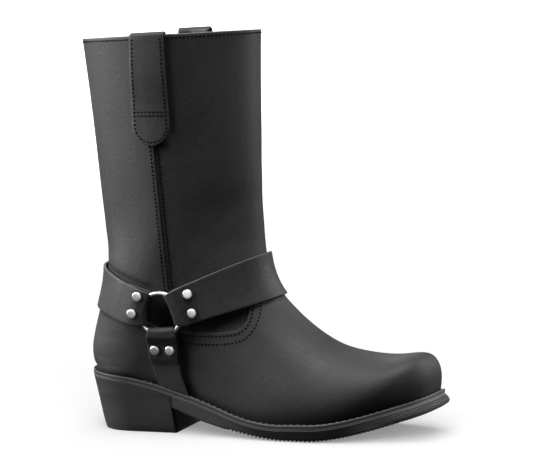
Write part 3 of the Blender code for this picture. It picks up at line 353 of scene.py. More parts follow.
def spline(knots, values):
    """Return a natural cubic through the values at the knots, as a function."""
    knots, values = np.asarray(knots, float), np.asarray(values, float)
    count = len(knots)
    steps = np.diff(knots)
    system = np.eye(count)
    bends = np.zeros(count)
    for i in range(1, count - 1):
        system[i, i - 1:i + 2] = steps[i - 1], 2.0 * (steps[i - 1] + steps[i]), steps[i]
        before, after = np.diff(values[i - 1:i + 2]) / steps[i - 1:i + 1]
        bends[i] = 6.0 * (after - before)
    moments = np.linalg.solve(system, bends)

    def at(place_):
        place_ = np.asarray(place_, float)
        i = np.clip(np.searchsorted(knots, place_) - 1, 0, count - 2)
        after, before, step = place_ - knots[i], knots[i + 1] - place_, steps[i]
        curve = (moments[i] * before ** 3 + moments[i + 1] * after ** 3) / (6.0 * step)
        line = values[i] * before / step + values[i + 1] * after / step
        return curve + line - step / 6.0 * (moments[i] * before + moments[i + 1] * after)

    return at


# Sole heights and plan

def shank_lift(x):
    return SHANK_LIFT * smooth((BREAST_X + SHANK_RUN - x) / SHANK_RUN)


def sole_bottom(x):
    """Height of the outsole's under side in front of the heel."""
    shank = np.clip((FLAT_FROM - x) / (FLAT_FROM - BREAST_X), 0.0, None) ** SOLE_CURVE
    toe = np.clip((x - FLAT_TO) / (LENGTH - FLAT_TO), 0.0, None) ** SOLE_CURVE
    return BREAST_HEIGHT * shank + TOE_SPRING * toe + shank_lift(x)


WELT_LINE = spline(*zip(*WELT_LIFT))


def welt_top(x):
    """Height of the welt's top, which eases to the seat height over the heel."""
    behind = np.clip(BREAST_X - x, 0.0, None)
    slope = SOLE_CURVE * BREAST_HEIGHT / (FLAT_FROM - BREAST_X)
    ease = (BREAST_HEIGHT + STACK + slope * BREAST_X - SEAT_HEIGHT) / BREAST_X ** 2
    fore = np.maximum(x, BREAST_X)
    return sole_bottom(fore) - shank_lift(fore) + STACK + slope * behind - ease * behind ** 2 + WELT_LINE(x)


PLAN_SPLINES = {side: spline([row.x for row in PLAN], [getattr(row, name) for row in PLAN])
                for side, name in SIDE_NAMES.items()}


def plan_ends(grow):
    """Back and toe of an outline that stands outside the feather line by grow."""
    heel, toe = (np.where(np.asarray(grow) > 0.0, grow * reach, grow) for reach in (HEEL_REACH, TOE_REACH))
    return FEATHER_BACK - heel, FEATHER_TOE + toe


def plan_side(x, side):
    """Half-width of the feather line before its ends are rounded."""
    toe_width = PLAN_SPLINES[side](TOE_ROUND_X)
    share = np.clip(x - TOE_ROUND_X, 0.0, None) / (FEATHER_TOE - TOE_ROUND_X)
    return PLAN_SPLINES[side](np.minimum(x, TOE_ROUND_X)) - toe_width * TOE_TAPER * share


def plan_width(x, side):
    """Half-width of the feather line at x."""
    heel = np.clip((HEEL_ROUND_X - x) / (HEEL_ROUND_X - FEATHER_BACK), 0.0, 1.0)
    toe = np.clip((x - TOE_ROUND_X) / (FEATHER_TOE - TOE_ROUND_X), 0.0, 1.0)
    round_heel = (1.0 - heel ** HEEL_POWER) ** (1.0 / HEEL_POWER)
    square_toe = (1.0 - toe ** TOE_POWER) ** (1.0 / TOE_POWER)
    return plan_side(x, side) * round_heel * square_toe


def outline(station, grow, side):
    """Point (x, y) of an outline: stations to 1 go round the heel, to 2 forward, to 3 round the toe."""
    back, toe = plan_ends(grow)
    quarter = math.pi / 2.0
    heel_turn = np.clip(station, 0.0, 1.0) * quarter
    toe_turn = np.clip(3.0 - station, 0.0, 1.0) * quarter
    forward = HEEL_ROUND_X + (np.clip(station, 1.0, 2.0) - 1.0) * (TOE_ROUND_X - HEEL_ROUND_X)
    cos_heel = np.clip(np.cos(heel_turn), 0.0, 1.0) ** (2.0 / HEEL_POWER)
    cos_toe = np.clip(np.cos(toe_turn), 0.0, 1.0) ** (2.0 / TOE_POWER)
    x = forward - (HEEL_ROUND_X - back) * cos_heel + (toe - TOE_ROUND_X) * cos_toe
    rounding = np.sin(heel_turn) ** (2.0 / HEEL_POWER) * np.sin(toe_turn) ** (2.0 / TOE_POWER)
    return x, side * (plan_side(x, side) + grow) * rounding


def forward_station(x):
    """Station of a place between the round heel and the square toe."""
    return 1.0 + (x - HEEL_ROUND_X) / (TOE_ROUND_X - HEEL_ROUND_X)


# Surface of the last

def section_table():
    """Work out the sections between the rows of SECTIONS, as one array for each column."""
    count = len(SECTIONS)
    places = np.linspace(0, count - 1, SECTION_STEPS * (count - 1) + 1)
    rows = np.arange(count)
    table = {"place": places}
    for column in ("top_x", "top_z", "lateral", "medial", "widest", "crown", "taper"):
        table[column] = spline(rows, [getattr(row, column) for row in SECTIONS])(places)
    feather_x = spline(rows[:HEEL_EDGE + 1], [row.foot_x for row in SECTIONS[:HEEL_EDGE + 1]])
    back_rows = SECTIONS[HEEL_EDGE:]
    back_z = [float(welt_top(FEATHER_BACK)) + GAP] + [row.foot_z for row in back_rows[1:]]
    back_x = spline(rows[HEEL_EDGE:], [row.foot_x for row in back_rows])
    on_feather = places <= HEEL_EDGE
    table["foot_x"] = np.where(on_feather, feather_x(places), back_x(places))
    height = spline(rows[HEEL_EDGE:], back_z)(places)
    table["foot_z"] = np.where(on_feather, welt_top(table["foot_x"]) + GAP, height)
    for side, name in SIDE_NAMES.items():
        foot = np.where(on_feather, plan_width(np.maximum(table["foot_x"], FEATHER_BACK), side), 0.0)
        table["tuck_" + name] = np.clip(foot / table[name], 0.0, 1.0)
    return table


LAST = section_table()


def section_width(x, z, side):
    """Half-width of the last at a few points of the side view, from the sections on either side of each."""
    rise_x, rise_z = LAST["top_x"] - LAST["foot_x"], LAST["top_z"] - LAST["foot_z"]
    across = rise_x * (z[:, None] - LAST["foot_z"]) - rise_z * (x[:, None] - LAST["foot_x"])
    passed = across <= 0.0
    after = np.where(passed.any(axis=1), np.argmax(passed, axis=1), len(rise_x) - 1)
    before = np.maximum(after - 1, 0)
    points = np.arange(len(x))
    ahead, behind = across[points, before], across[points, after]
    share = np.where(ahead > behind, ahead / np.where(ahead > behind, ahead - behind, 1.0), 0.0)
    index = before + np.clip(share, 0.0, 1.0)

    def column(name):
        return np.interp(index, np.arange(len(rise_x)), LAST[name])

    run_x, run_z = column("top_x") - column("foot_x"), column("top_z") - column("foot_z")
    along = (x - column("foot_x")) * run_x + (z - column("foot_z")) * run_z
    along = np.clip(along / (run_x ** 2 + run_z ** 2), 0.0, 1.0)
    widest, crown = np.maximum(column("widest"), 0.005), column("crown")
    tuck = column("tuck_" + SIDE_NAMES[side])
    upper = np.clip((along - widest) / (1.0 - widest), 0.0, 1.0)
    lower = np.clip((widest - along) / widest, 0.0, 1.0)
    above = (1.0 - upper ** crown) ** (1.0 / crown)
    below = np.sqrt(1.0 - lower ** 2 * (1.0 - tuck ** 2))
    width = column(SIDE_NAMES[side]) * np.where(along >= widest, above, below)
    return width * (1.0 - column("taper") * along)


def last_width(x, z, side):
    """Half-width of the last at a few points, with the heel rounded by its level sections."""
    width = section_width(x, z, side)
    share = smooth((HEEL_SPAN - x) / HEEL_BLEND) * smooth((HEEL_TOP - z) / HEEL_FADE)
    share = share * smooth((z - welt_top(x)) / HEEL_FOOT)
    heel = np.flatnonzero(share > 0.0)
    if len(heel):
        back = back_at_height(z[heel])[0]
        away = np.clip((HEEL_SPAN - x[heel]) / (HEEL_SPAN - back), 0.0, 1.0)
        power = np.interp(z[heel], *zip(*HEEL_SQUARENESS))
        widest = section_width(np.full(len(heel), HEEL_SPAN), z[heel], side)
        level = widest * (1.0 - away ** power) ** (1.0 / power)
        width[heel] += share[heel] * (level - width[heel])
    return width


def panel_dip(x, z):
    """How far the shaft's panels, which meet in a soft edge at the side seam, lie inside the last."""
    (top_x, top_z), (foot_x, foot_z) = PIPING_TOP, PIPING_FOOT
    seam = top_x + (top_z - z) / (top_z - foot_z) * (foot_x - top_x)
    in_front = x > seam
    end = np.where(in_front, front_at_height(z)[0], back_at_height(z)[0])
    share = np.clip((x - seam) / (end - seam), 0.0, 1.0)
    dip = np.where(in_front, FRONT_DIP, BACK_DIP) * smooth((z - PANEL_FROM) / (PANEL_TO - PANEL_FROM))
    return dip * np.sin(share * math.pi)


def half_width(x, z, side, panels=1.0):
    """Distance of the upper's skin from the middle plane, with or without the dip of its panels."""
    x, z = broadcast(x, z)
    flat_x, flat_z = x.ravel(), z.ravel()
    parts = [last_width(flat_x[i:i + CHUNK], flat_z[i:i + CHUNK], side)
             for i in range(0, len(flat_x), CHUNK)]
    return np.maximum(np.concatenate(parts).reshape(x.shape) - panels * panel_dip(x, z), 0.0)


def line_point(place_, end):
    """Point (x, z) of the front line (end "top") or back line (end "foot") at a place along SECTIONS."""
    return np.array([np.interp(place_, LAST["place"], LAST[f"{end}_{axis}"]) for axis in "xz"])


def front_at_height(z):
    """Point of the front line at a height of the shaft or instep."""
    above_toe = LAST["place"] >= INSTEP_FROM
    return np.array([np.interp(z, LAST["top_z"][above_toe], LAST["top_x"][above_toe]), z])


def back_at_height(z):
    """Point of the back line at a height."""
    back = LAST["place"] >= HEEL_EDGE
    return np.array([np.interp(z, LAST["foot_z"][back], LAST["foot_x"][back]), z])


def broadcast(*values):
    return np.broadcast_arrays(*(np.asarray(value, float) for value in values))


def distances_along(points):
    """Distance of each point along a polyline."""
    return np.concatenate([[0.0], np.cumsum(np.linalg.norm(np.diff(points, axis=0), axis=1))])


def read(points, marks, places):
    """Points at places between points whose places are the marks."""
    return np.stack([np.interp(places, marks, column) for column in points.T], axis=1)


def skin_line(path, side):
    """Lay a path of the side view on the upper's skin, on one side."""
    return np.stack([path[:, 0], side * half_width(path[:, 0], path[:, 1], side), path[:, 1]], axis=1)


def unit(vectors):
    return vectors / np.linalg.norm(vectors, axis=-1, keepdims=True)


def skin(x, z, side, panels=1.0):
    """Points of the upper's skin and their outward normals, away from the front and back lines."""
    x, z = broadcast(x, z)
    width = half_width(x, z, side, panels)

    def slope(step_x, step_z):
        ahead = half_width(x + step_x, z + step_z, side, panels)
        return (ahead - half_width(x - step_x, z - step_z, side, panels)) / (2.0 * SLOPE_STEP)

    slope_x, slope_z = slope(SLOPE_STEP, 0.0), slope(0.0, SLOPE_STEP)
    normals = unit(np.stack([-slope_x, np.full_like(slope_x, side), -slope_z], axis=-1))
    return np.stack([x, side * width, z], axis=-1), normals


# Meshes

def place(points):
    """Shoe millimetres to the model's metres, with the forefoot's slant."""
    placed = np.array(points, float)
    slant = TOE_SLANT * smooth((placed[..., 0] - SLANT_FROM) / (SLANT_TO - SLANT_FROM))
    placed[..., 0] += slant * placed[..., 1] - CENTRE_X
    return placed * MM


def link(name, data):
    piece = bpy.data.objects.new(name, data)
    bpy.context.scene.collection.objects.link(piece)
    return piece


def shell(name, loops, finishes, closed=False, pointed=False, marks=None, row_finish=None, sharp=40.0):
    """Make a piece from loops of points: a ring when closed, else a tube with end faces, or with ends that
    close in a line when pointed. marks are float attributes, and row_finish picks a finish for each row."""
    loops = np.asarray(loops, float)
    rows, count = loops.shape[:2]
    index = np.arange(rows * count).reshape(rows, count)
    here = index if closed else index[:-1]
    there = np.roll(index, -1, axis=0) if closed else index[1:]
    quads = np.stack([here, np.roll(here, -1, axis=1), np.roll(there, -1, axis=1), there], axis=-1)
    faces = quads.reshape(-1, 4).tolist()
    if not closed and not pointed:
        faces += [index[0].tolist(), index[-1].tolist()]
    mesh = bpy.data.meshes.new(name)
    mesh.from_pydata(place(loops).reshape(-1, 3).tolist(), [], faces)
    if row_finish is not None:
        mesh.polygons.foreach_set("material_index", np.repeat(row_finish, count).astype(np.int32))
    for mark, values in (marks or {}).items():
        values = np.broadcast_to(values, (rows, count)).astype(np.float32)
        mesh.attributes.new(mark, "FLOAT", "POINT").data.foreach_set("value", values.ravel())
    shape = bmesh.new()
    shape.from_mesh(mesh)
    if pointed:
        bmesh.ops.remove_doubles(shape, verts=shape.verts[:], dist=1e-6)
    bmesh.ops.recalc_face_normals(shape, faces=shape.faces[:])
    shape.to_mesh(mesh)
    shape.free()
    mesh.shade_smooth()
    mesh.set_sharp_from_angle(angle=math.radians(sharp))
    for made in finishes:
        mesh.materials.append(made)
    return link(name, mesh)


def joined(name, parts):
    """Make one mesh object of several sets of points, each with its edges and its point attributes."""
    points, edges, marks = zip(*parts)
    starts = np.cumsum([0, *map(len, points)])
    mesh = bpy.data.meshes.new(name)
    edges = np.concatenate([np.asarray(rows, int) + start for rows, start in zip(edges, starts)])
    mesh.from_pydata(np.concatenate(points).tolist(), edges.tolist(), [])
    for label in marks[0]:
        values = np.concatenate([np.asarray(part[label], np.float32) for part in marks])
        kind, key = ("FLOAT_VECTOR", "vector") if values.ndim == 2 else ("FLOAT", "value")
        mesh.attributes.new(label, kind, "POINT").data.foreach_set(key, values.ravel())
    return link(name, mesh)


def seam_part(points, normals, lift=0.0, closed=False):
    """Part for joined(): a row of stitches on a surface, at a lift above it."""
    count = len(points)
    edges = [(i, i + 1) for i in range(count - 1)] + ([(count - 1, 0)] if closed else [])
    return place(points + normals * lift), edges, {"facing": normals}


# Node trees

class Wire:
    """A node's socket: arithmetic on it adds Math nodes, and node() adds any other node to its tree."""

    def __init__(self, tree, socket=None):
        self.tree = tree
        self.socket = socket

    def feed(self, socket, value):
        """Link a wire to a socket, or set the socket's value."""
        if isinstance(value, Wire):
            self.tree.links.new(value.socket, socket)
        else:
            socket.default_value = value

    def node(self, kind, settings=None, sockets=None, output=0):
        """Add a node, set it up, fill its sockets and return one of its outputs."""
        made = self.tree.nodes.new(kind)
        for key, value in (settings or {}).items():
            setattr(made, key, value)
        for key, value in (sockets or {}).items():
            self.feed(made.inputs[key], value)
        return Wire(self.tree, made.outputs[output])

    def math(self, operation, *values):
        return self.node("ShaderNodeMath", {"operation": operation}, dict(enumerate(values)))

    def __add__(self, other):
        return self.math("ADD", self, other)

    __radd__ = __add__

    def __sub__(self, other):
        return self.math("SUBTRACT", self, other)

    def __rsub__(self, other):
        return self.math("SUBTRACT", other, self)

    def __mul__(self, other):
        return self.math("MULTIPLY", self, other)

    __rmul__ = __mul__

    def blend(self, first, second):
        """Mix two colours by this wire."""
        return self.node("ShaderNodeMix", {"data_type": "RGBA"}, {0: self, 6: first, 7: second}, 2)

    def ramp(self, low, high):
        """Ease from 0 at low to 1 at high."""
        settings = {"interpolation_type": "SMOOTHSTEP"}
        return self.node("ShaderNodeMapRange", settings, {"Value": self, "From Min": low, "From Max": high})


def rgba(colour):
    return (*colour, 1.0)


def scaled(colour, factor):
    return rgba([channel * factor for channel in colour])


def new_finish(name):
    """Start a material and return it with a wire to build on and the coordinates of its piece."""
    made = bpy.data.materials.new(name)
    made.use_nodes = True
    wire = Wire(made.node_tree)
    return made, wire, wire.node("ShaderNodeTexCoord", output="Object")


def end_finish(made, wire, **values):
    """Set or link the sockets of a material's shader; a socket's name has _ for each space."""
    shader = made.node_tree.nodes["Principled BSDF"]
    for key, value in values.items():
        wire.feed(shader.inputs[key.replace("_", " ")], value)
    return made


def mark(wire, name):
    """A float attribute of the mesh."""
    return wire.node("ShaderNodeAttribute", {"attribute_name": name}, output="Fac")


def noise(wire, spot, scale, detail=2.0, roughness=0.5):
    sockets = {"Vector": spot, "Scale": scale, "Detail": detail, "Roughness": roughness}
    return wire.node("ShaderNodeTexNoise", None, sockets)


def stretched(wire, spot, scale):
    """Coordinates scaled by a different factor on each axis."""
    return wire.node("ShaderNodeMapping", None, {"Vector": spot, "Scale": scale})


def bump(wire, height, strength, distance):
    sockets = {"Height": height, "Strength": strength, "Distance": distance}
    return wire.node("ShaderNodeBump", None, sockets)


def leather_finish(name, colour, edge_colour, grain, roughness):
    """Black oiled leather: pebbled grain, a cloudy tone, painted shade where the mesh marks shade, and paler
    raw edges where the mesh marks them.
    """
    made, wire, spot = new_finish(name)
    pebbles = wire.node("ShaderNodeTexVoronoi", {"feature": "SMOOTH_F1"},
                        {"Vector": spot, "Scale": 1.0 / grain, "Smoothness": 0.35}, "Distance")
    pores = noise(wire, spot, 2.2 / grain, 3.0, 0.6)
    clouds = noise(wire, spot, 24.0, 4.0, 0.55)
    mottle = noise(wire, spot, 260.0, 4.0, 0.65)
    drag = noise(wire, stretched(wire, spot, (60.0, 60.0, 14.0)), 1.0, 3.0, 0.5)
    edge, shade = mark(wire, "edge"), mark(wire, "shade")
    ragged = edge * (0.55 + 0.9 * noise(wire, spot, 420.0, 3.0, 0.6))
    depth = 0.5 * clouds + 0.5 * mottle + 0.25 * (pores - 0.5)
    # Painted shade: the shade mark darkens the cloudy tone nearly to black where shadow falls
    dye_and_painted_shade = shade.blend(depth.blend(scaled(colour, 0.3), scaled(colour, 1.7)), scaled(colour, 0.05))
    worn = 0.22 * (clouds - 0.5) + 0.3 * (mottle - 0.5) + 0.10 * (drag - 0.5) + 0.10 * (pebbles - 0.4)
    height = 0.7 * pebbles + 0.6 * pores + 1.1 * drag + 2.4 * mottle
    return end_finish(made, wire, Specular_IOR_Level=0.3,
                      Base_Color=ragged.blend(dye_and_painted_shade, rgba(edge_colour)),
                      Roughness=roughness + worn + 0.2 * edge + 0.35 * shade,
                      Normal=bump(wire, height, 0.31, grain * 0.35))


def rubber_finish(name, colour):
    """Black moulded rubber: fine pitted skin, a streaky tone, painted shade where the mesh marks shade, and
    painted highlights on the edges where the mesh marks them.
    """
    made, wire, spot = new_finish(name)
    pits = noise(wire, spot, 1500.0, 3.0, 0.6)
    smear = noise(wire, stretched(wire, spot, (18.0, 18.0, 160.0)), 1.0, 4.0, 0.6)
    edge, shade = mark(wire, "edge"), mark(wire, "shade")
    # The shade mark darkens the rubber as painted shade; the edge mark lightens it as a painted highlight on
    # its lips and ridges
    body = shade.blend(smear.blend(scaled(colour, 0.65), scaled(colour, 1.45)), scaled(colour, 0.06))
    return end_finish(made, wire, Specular_IOR_Level=0.2,
                      Base_Color=(0.8 * edge).blend(body, scaled(colour, 6.0)),
                      Roughness=0.52 + 0.4 * shade + 0.2 * (smear - 0.5) + 0.12 * (pits - 0.5),
                      Normal=bump(wire, pits + 0.6 * smear, 0.25, 0.0002))


def nickel_finish(name, colour, roughness):
    """Bright nickel plate with faint polishing marks and a mottle, and painted shade where the mesh marks
    it.
    """
    made, wire, spot = new_finish(name)
    mottle = noise(wire, spot, 700.0, 3.0, 0.6)
    marks = noise(wire, stretched(wire, spot, (300.0, 300.0, 2400.0)), 1.0, 2.0, 0.5)
    plate = mottle.blend(scaled(colour, 0.7), rgba(colour))
    return end_finish(made, wire, Metallic=1.0,
                      Base_Color=mark(wire, "shade").blend(plate, scaled(colour, 0.06)),
                      Roughness=roughness + 0.16 * (mottle - 0.4) + 0.08 * (marks - 0.5),
                      Normal=bump(wire, mottle + 0.5 * marks, 0.12, 0.0002))


def thread_finish(name, colour):
    """Waxed thread with a twist that shows as fine diagonal ridges."""
    made, wire, spot = new_finish(name)
    turned = wire.node("ShaderNodeMapping", None, {"Vector": spot, "Rotation": (0.5, 0.6, 0.4)})
    twist = wire.node("ShaderNodeTexWave", None, {"Vector": turned, "Scale": 700.0, "Distortion": 0.6}, 1)
    return end_finish(made, wire, Specular_IOR_Level=0.05,
                      Base_Color=twist.blend(scaled(colour, 0.6), scaled(colour, 1.2)),
                      Roughness=0.6 + 0.2 * (twist - 0.5), Normal=bump(wire, twist, 0.3, 0.0002))


def lining_finish(name, colour):
    """Napped lining leather: soft, dull and a little blotchy."""
    made, wire, spot = new_finish(name)
    nap = noise(wire, spot, 900.0, 4.0, 0.65)
    blotch = noise(wire, spot, 30.0, 4.0, 0.55)
    return end_finish(made, wire, Specular_IOR_Level=0.2,
                      Base_Color=blotch.blend(scaled(colour, 0.75), scaled(colour, 1.25)),
                      Roughness=0.82 + 0.15 * (nap - 0.5), Normal=bump(wire, nap, 0.3, 0.0003))


def finish(name):
    """A finish of the boot, made from the scene's settings when it is first asked for."""
    label = "boot_" + name
    made = bpy.data.materials.get(label)
    if made:
        return made
    scene = bpy.context.scene
    leather, thread = scene.boot_leather, scene.boot_thread
    raw, grain, dull = leather.edge_colour, leather.grain, leather.roughness
    maker, *values = {
        "upper_leather": (leather_finish, leather.upper_colour, raw, grain, dull),
        "piping_leather": (leather_finish, leather.piping_colour, raw, grain, PIPING_DULL),
        "strap_leather": (leather_finish, leather.strap_colour, raw, grain * STRAP_GRAIN,
                          dull - STRAP_POLISH),
        "lining_leather": (lining_finish, leather.lining_colour),
        "insole_fibre": (lining_finish, leather.insole_colour),
        "sole_rubber": (rubber_finish, scene.boot_sole.colour),
        "nickel": (nickel_finish, scene.boot_nickel.colour, scene.boot_nickel.roughness),
        "seam_thread": (thread_finish, thread.seam_colour),
        "welt_thread": (thread_finish, thread.welt_colour),
    }[name]
    return maker(label, *values)


def new_tree(name, *numbers, **others):
    """Start a Geometry Nodes tree with named inputs; return a wire and the inputs as wires."""
    tree = bpy.data.node_groups.new(name, "GeometryNodeTree")
    inputs = {"Geometry": "Geometry", **dict.fromkeys(numbers, "Float"), **others, "Material": "Material"}
    for label, kind in inputs.items():
        tree.interface.new_socket(label, in_out="INPUT", socket_type="NodeSocket" + kind)
    tree.interface.new_socket("Geometry", in_out="OUTPUT", socket_type="NodeSocketGeometry")
    source = tree.nodes.new("NodeGroupInput")
    return Wire(tree), {socket.name: Wire(tree, socket) for socket in source.outputs if socket.name}


def end_tree(wire, inputs, points, instance, turn, size):
    """Close a tree: set instances on the points, realize them, shade them smooth and set their material."""
    sockets = {"Points": points, "Instance": instance, "Rotation": turn, "Scale": size}
    real = wire.node("GeometryNodeRealizeInstances", None,
                     {"Geometry": wire.node("GeometryNodeInstanceOnPoints", None, sockets)})
    soft = wire.node("GeometryNodeSetShadeSmooth", None, {0: real})
    dressed = wire.node("GeometryNodeSetMaterial", None, {"Geometry": soft, "Material": inputs["Material"]})
    wire.feed(wire.tree.nodes.new("NodeGroupOutput").inputs["Geometry"], dressed)
    return wire.tree


def named(wire, name, kind="FLOAT_VECTOR"):
    return wire.node("GeometryNodeInputNamedAttribute", {"data_type": kind}, {"Name": name})


def turned_to(wire, first_axis, first, second_axis, second):
    """Rotation that lays one axis along a vector, then swings another towards a second vector about it."""
    laid = wire.node("FunctionNodeAlignRotationToVector", {"axis": first_axis}, {"Vector": first})
    settings = {"axis": second_axis, "pivot_axis": first_axis}
    return wire.node("FunctionNodeAlignRotationToVector", settings, {"Rotation": laid, "Vector": second})


def combined(wire, x, y, z):
    return wire.node("ShaderNodeCombineXYZ", None, {"X": x, "Y": y, "Z": z})


def stitch_tree():
    """Stitches at a pitch along every line, each a small bead laid along it and flat on its surface."""
    wire, inputs = new_tree("boot_stitches", "Pitch", "Length", "Width", "Height")
    lines = wire.node("GeometryNodeMeshToCurve", None, {"Mesh": inputs["Geometry"]})
    spaced = wire.node("GeometryNodeResampleCurve", {"mode": "LENGTH"},
                       {"Curve": lines, "Length": inputs["Pitch"]})
    bead = wire.node("GeometryNodeMeshUVSphere", None, {"Segments": 8, "Rings": 5, "Radius": 0.5})
    turn = turned_to(wire, "X", wire.node("GeometryNodeInputTangent"), "Z", named(wire, "facing"))
    size = combined(wire, inputs["Length"], inputs["Width"], inputs["Height"])
    return end_tree(wire, inputs, spaced, bead, turn, size)


def rivet_tree():
    """A rivet on every point, standing along its facing."""
    wire, inputs = new_tree("boot_rivets", "Size", Rivet="Object")
    cap = wire.node("GeometryNodeObjectInfo", None, {"Object": inputs["Rivet"]}, "Geometry")
    turn = wire.node("FunctionNodeAlignRotationToVector", {"axis": "Z"}, {"Vector": named(wire, "facing")})
    size = combined(wire, inputs["Size"], inputs["Size"], inputs["Size"])
    return end_tree(wire, inputs, inputs["Geometry"], cap, turn, size)


def tread_tree():
    """A three-sided rib across the sole on every point, with one edge down."""
    wire, inputs = new_tree("boot_tread", "Depth", "Width")
    rib = wire.node("GeometryNodeMeshCylinder", None, {"Vertices": 3, "Radius": 1.0, "Depth": 1.0})
    turn = turned_to(wire, "Z", named(wire, "across"), "X", named(wire, "facing"))
    size = combined(wire, inputs["Depth"], inputs["Width"], named(wire, "span", "FLOAT"))
    return end_tree(wire, inputs, inputs["Geometry"], rib, turn, size)


def grown(carrier, tree, values):
    """Run a tree on a carrier object, then keep the result as the object's own plain mesh."""
    modifier = carrier.modifiers.new("nodes", "NODES")
    modifier.node_group = tree
    for item in tree.interface.items_tree:
        if item.in_out == "INPUT" and item.name in values:
            modifier[item.identifier] = values[item.name]
    graph = bpy.context.evaluated_depsgraph_get()
    mesh = bpy.data.meshes.new_from_object(carrier.evaluated_get(graph))
    carrier.modifiers.clear()
    lines, carrier.data = carrier.data, mesh
    mesh.name = carrier.name
    bpy.data.meshes.remove(lines)
    return carrier


def lit(slot):
    """Collection of the pieces that lamps for a slot, or for all slots, shine on."""
    return bpy.data.collections.get("lit_" + slot) or bpy.data.collections.new("lit_" + slot)


def fit(piece, slot, *nodes):
    """Tie a piece to the boot's body, to the lamps that shine on its slot and to the solids that it stands
    for.
    """
    for receivers in ("all", slot):
        lit(receivers).objects.link(piece)
    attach(piece, "root")
    if nodes:
        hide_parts(*nodes)


def build(name, loops, slot, finishes=None, **form):
    """Make a shell for the solid of the same name, in its slot's finish unless others are given."""
    fit(shell("boot_" + name, loops, [finish(label) for label in finishes or [slot]], **form), slot, name)


# Upper

def crowded(count):
    """Parameters from 0 to 1, close together at both ends."""
    return (1.0 - np.cos(np.linspace(0.0, math.pi, count))) / 2.0


def chord(back, front, shares):
    return back + shares[:, None] * (front - back)


def vamp_edge_path():
    """The vamp's edge in the side view, from the back line to the front line."""
    back, front = line_point(EDGE_BACK, "foot"), line_point(EDGE_FRONT, "top")
    corners = np.array([back, *[(corner.x, corner.z) for corner in VAMP_EDGE], front])
    marks = distances_along(corners)
    places = crowded(ROW_POINTS) * marks[-1]
    return np.stack([spline(marks, column)(places) for column in corners.T], axis=1)


def upper_rows():
    """Rows of the upper from feather line to collar, as paths of the side view."""
    shares = crowded(ROW_POINTS)
    level = chord(line_point(HEEL_EDGE, "foot"), line_point(0, "top"), shares)
    feather_dip = np.stack([np.zeros(ROW_POINTS), welt_top(level[:, 0]) + GAP - level[:, 1]], axis=1)
    edge = vamp_edge_path()
    edge_dip = edge - chord(edge[0], edge[-1], shares)
    rows = []
    for share in np.linspace(0.0, 1.0, FOOT_ROWS + 1):
        back = line_point(HEEL_EDGE + share * (EDGE_BACK - HEEL_EDGE), "foot")
        front = line_point(share * EDGE_FRONT, "top")
        dip = (1.0 - share) * feather_dip + share ** EDGE_REACH * edge_dip
        rows.append(chord(back, front, shares) + dip)
    last = len(SECTIONS) - 1
    for share in np.linspace(0.0, 1.0, SHAFT_ROWS + 1)[1:]:
        back = line_point(EDGE_BACK + share * (last - EDGE_BACK), "foot")
        front = line_point(EDGE_FRONT + share * (last - EDGE_FRONT), "top")
        rows.append(chord(back, front, shares) + (1.0 - share) ** EDGE_REACH * edge_dip)
    return rows


def upper_ring(path, on_feather):
    """Points round the boot along a path, from the back over the lateral side to the front and back."""
    shares = np.linspace(0.0, 1.0, HALF_COLUMNS + 1)
    columns = (1.0 - COLUMN_CROWDING) * shares + COLUMN_CROWDING * crowded(HALF_COLUMNS + 1)
    halves = []
    for side in SIDE_NAMES:
        line = skin_line(path, side)
        if on_feather:
            line[:, 1] = side * plan_width(path[:, 0], side)
        line[[0, -1], 1] = 0.0
        marks = distances_along(line)
        halves.append(read(line, marks, columns * marks[-1]))
    return np.concatenate([halves[0], halves[1][-2:0:-1]])


def ring_normals(rings):
    """Outward normals of a stack of closed rings."""
    along = np.roll(rings, -1, axis=1) - np.roll(rings, 1, axis=1)
    normals = unit(np.cross(along, np.gradient(rings, axis=0)))
    outward = rings - rings.mean(axis=1, keepdims=True)
    return normals * np.sign((normals * outward).sum(axis=(1, 2)))[:, None, None]


def strokes(points, table):
    """Sum of a table's strokes at points of the skin."""
    x, y, z = points[..., 0], points[..., 1], points[..., 2]
    total = np.zeros_like(x)
    for stroke in table:
        run = np.array([stroke.end_x - stroke.x, stroke.end_z - stroke.z], float)
        length = np.linalg.norm(run)
        run /= length
        along = (x - stroke.x) * run[0] + (z - stroke.z) * run[1]
        off = (z - stroke.z) * run[0] - (x - stroke.x) * run[1]
        fade = STROKE_FADE * stroke.width
        ends = smooth(0.5 + along / fade) * smooth(0.5 + (length - along) / fade)
        on_side = sum(smooth(0.5 + side * y / SIDE_FADE) for side in stroke.sides)
        total += stroke.depth * np.exp(-(off / stroke.width) ** 2) * ends * on_side
    return total


def skin_shade(points):
    """How dark the painted shade makes the leather at points of the upper's outside, from 0 to 1: where
    shadow falls by the harness and along the feather line.
    """
    rise = points[..., 2] - welt_top(points[..., 0])
    reach = np.interp(points[..., 0], *zip(*FEATHER_SHADE))
    return np.clip(strokes(points, SHADES) + np.exp(-(rise / reach) ** 2), 0.0, 1.0)


class UpperSkin:
    """Rings of points over the upper with their normals, shared by the upper and its stitch rows."""

    def __init__(self, crease_scale):
        rings = np.array([upper_ring(path, row == 0) for row, path in enumerate(upper_rows())])
        normals = ring_normals(rings)
        calm = smooth(np.arange(len(rings)) / CALM_ROWS)[:, None, None]
        self.rings = rings - normals * strokes(rings, CREASES)[..., None] * calm * crease_scale
        self.normals = ring_normals(self.rings)

    def below(self, row, distance):
        """Points on every column at a distance below a row, and their normals."""
        down, facing = self.rings[row::-1], self.normals[row::-1]
        steps = np.linalg.norm(np.diff(down, axis=0), axis=2)
        marks = np.concatenate([np.zeros((1, steps.shape[1])), steps.cumsum(axis=0)])
        points, normals = (np.concatenate([read(table[:, i], marks[:, i], [distance])
                                           for i in range(table.shape[1])]) for table in (down, facing))
        return points, unit(normals)


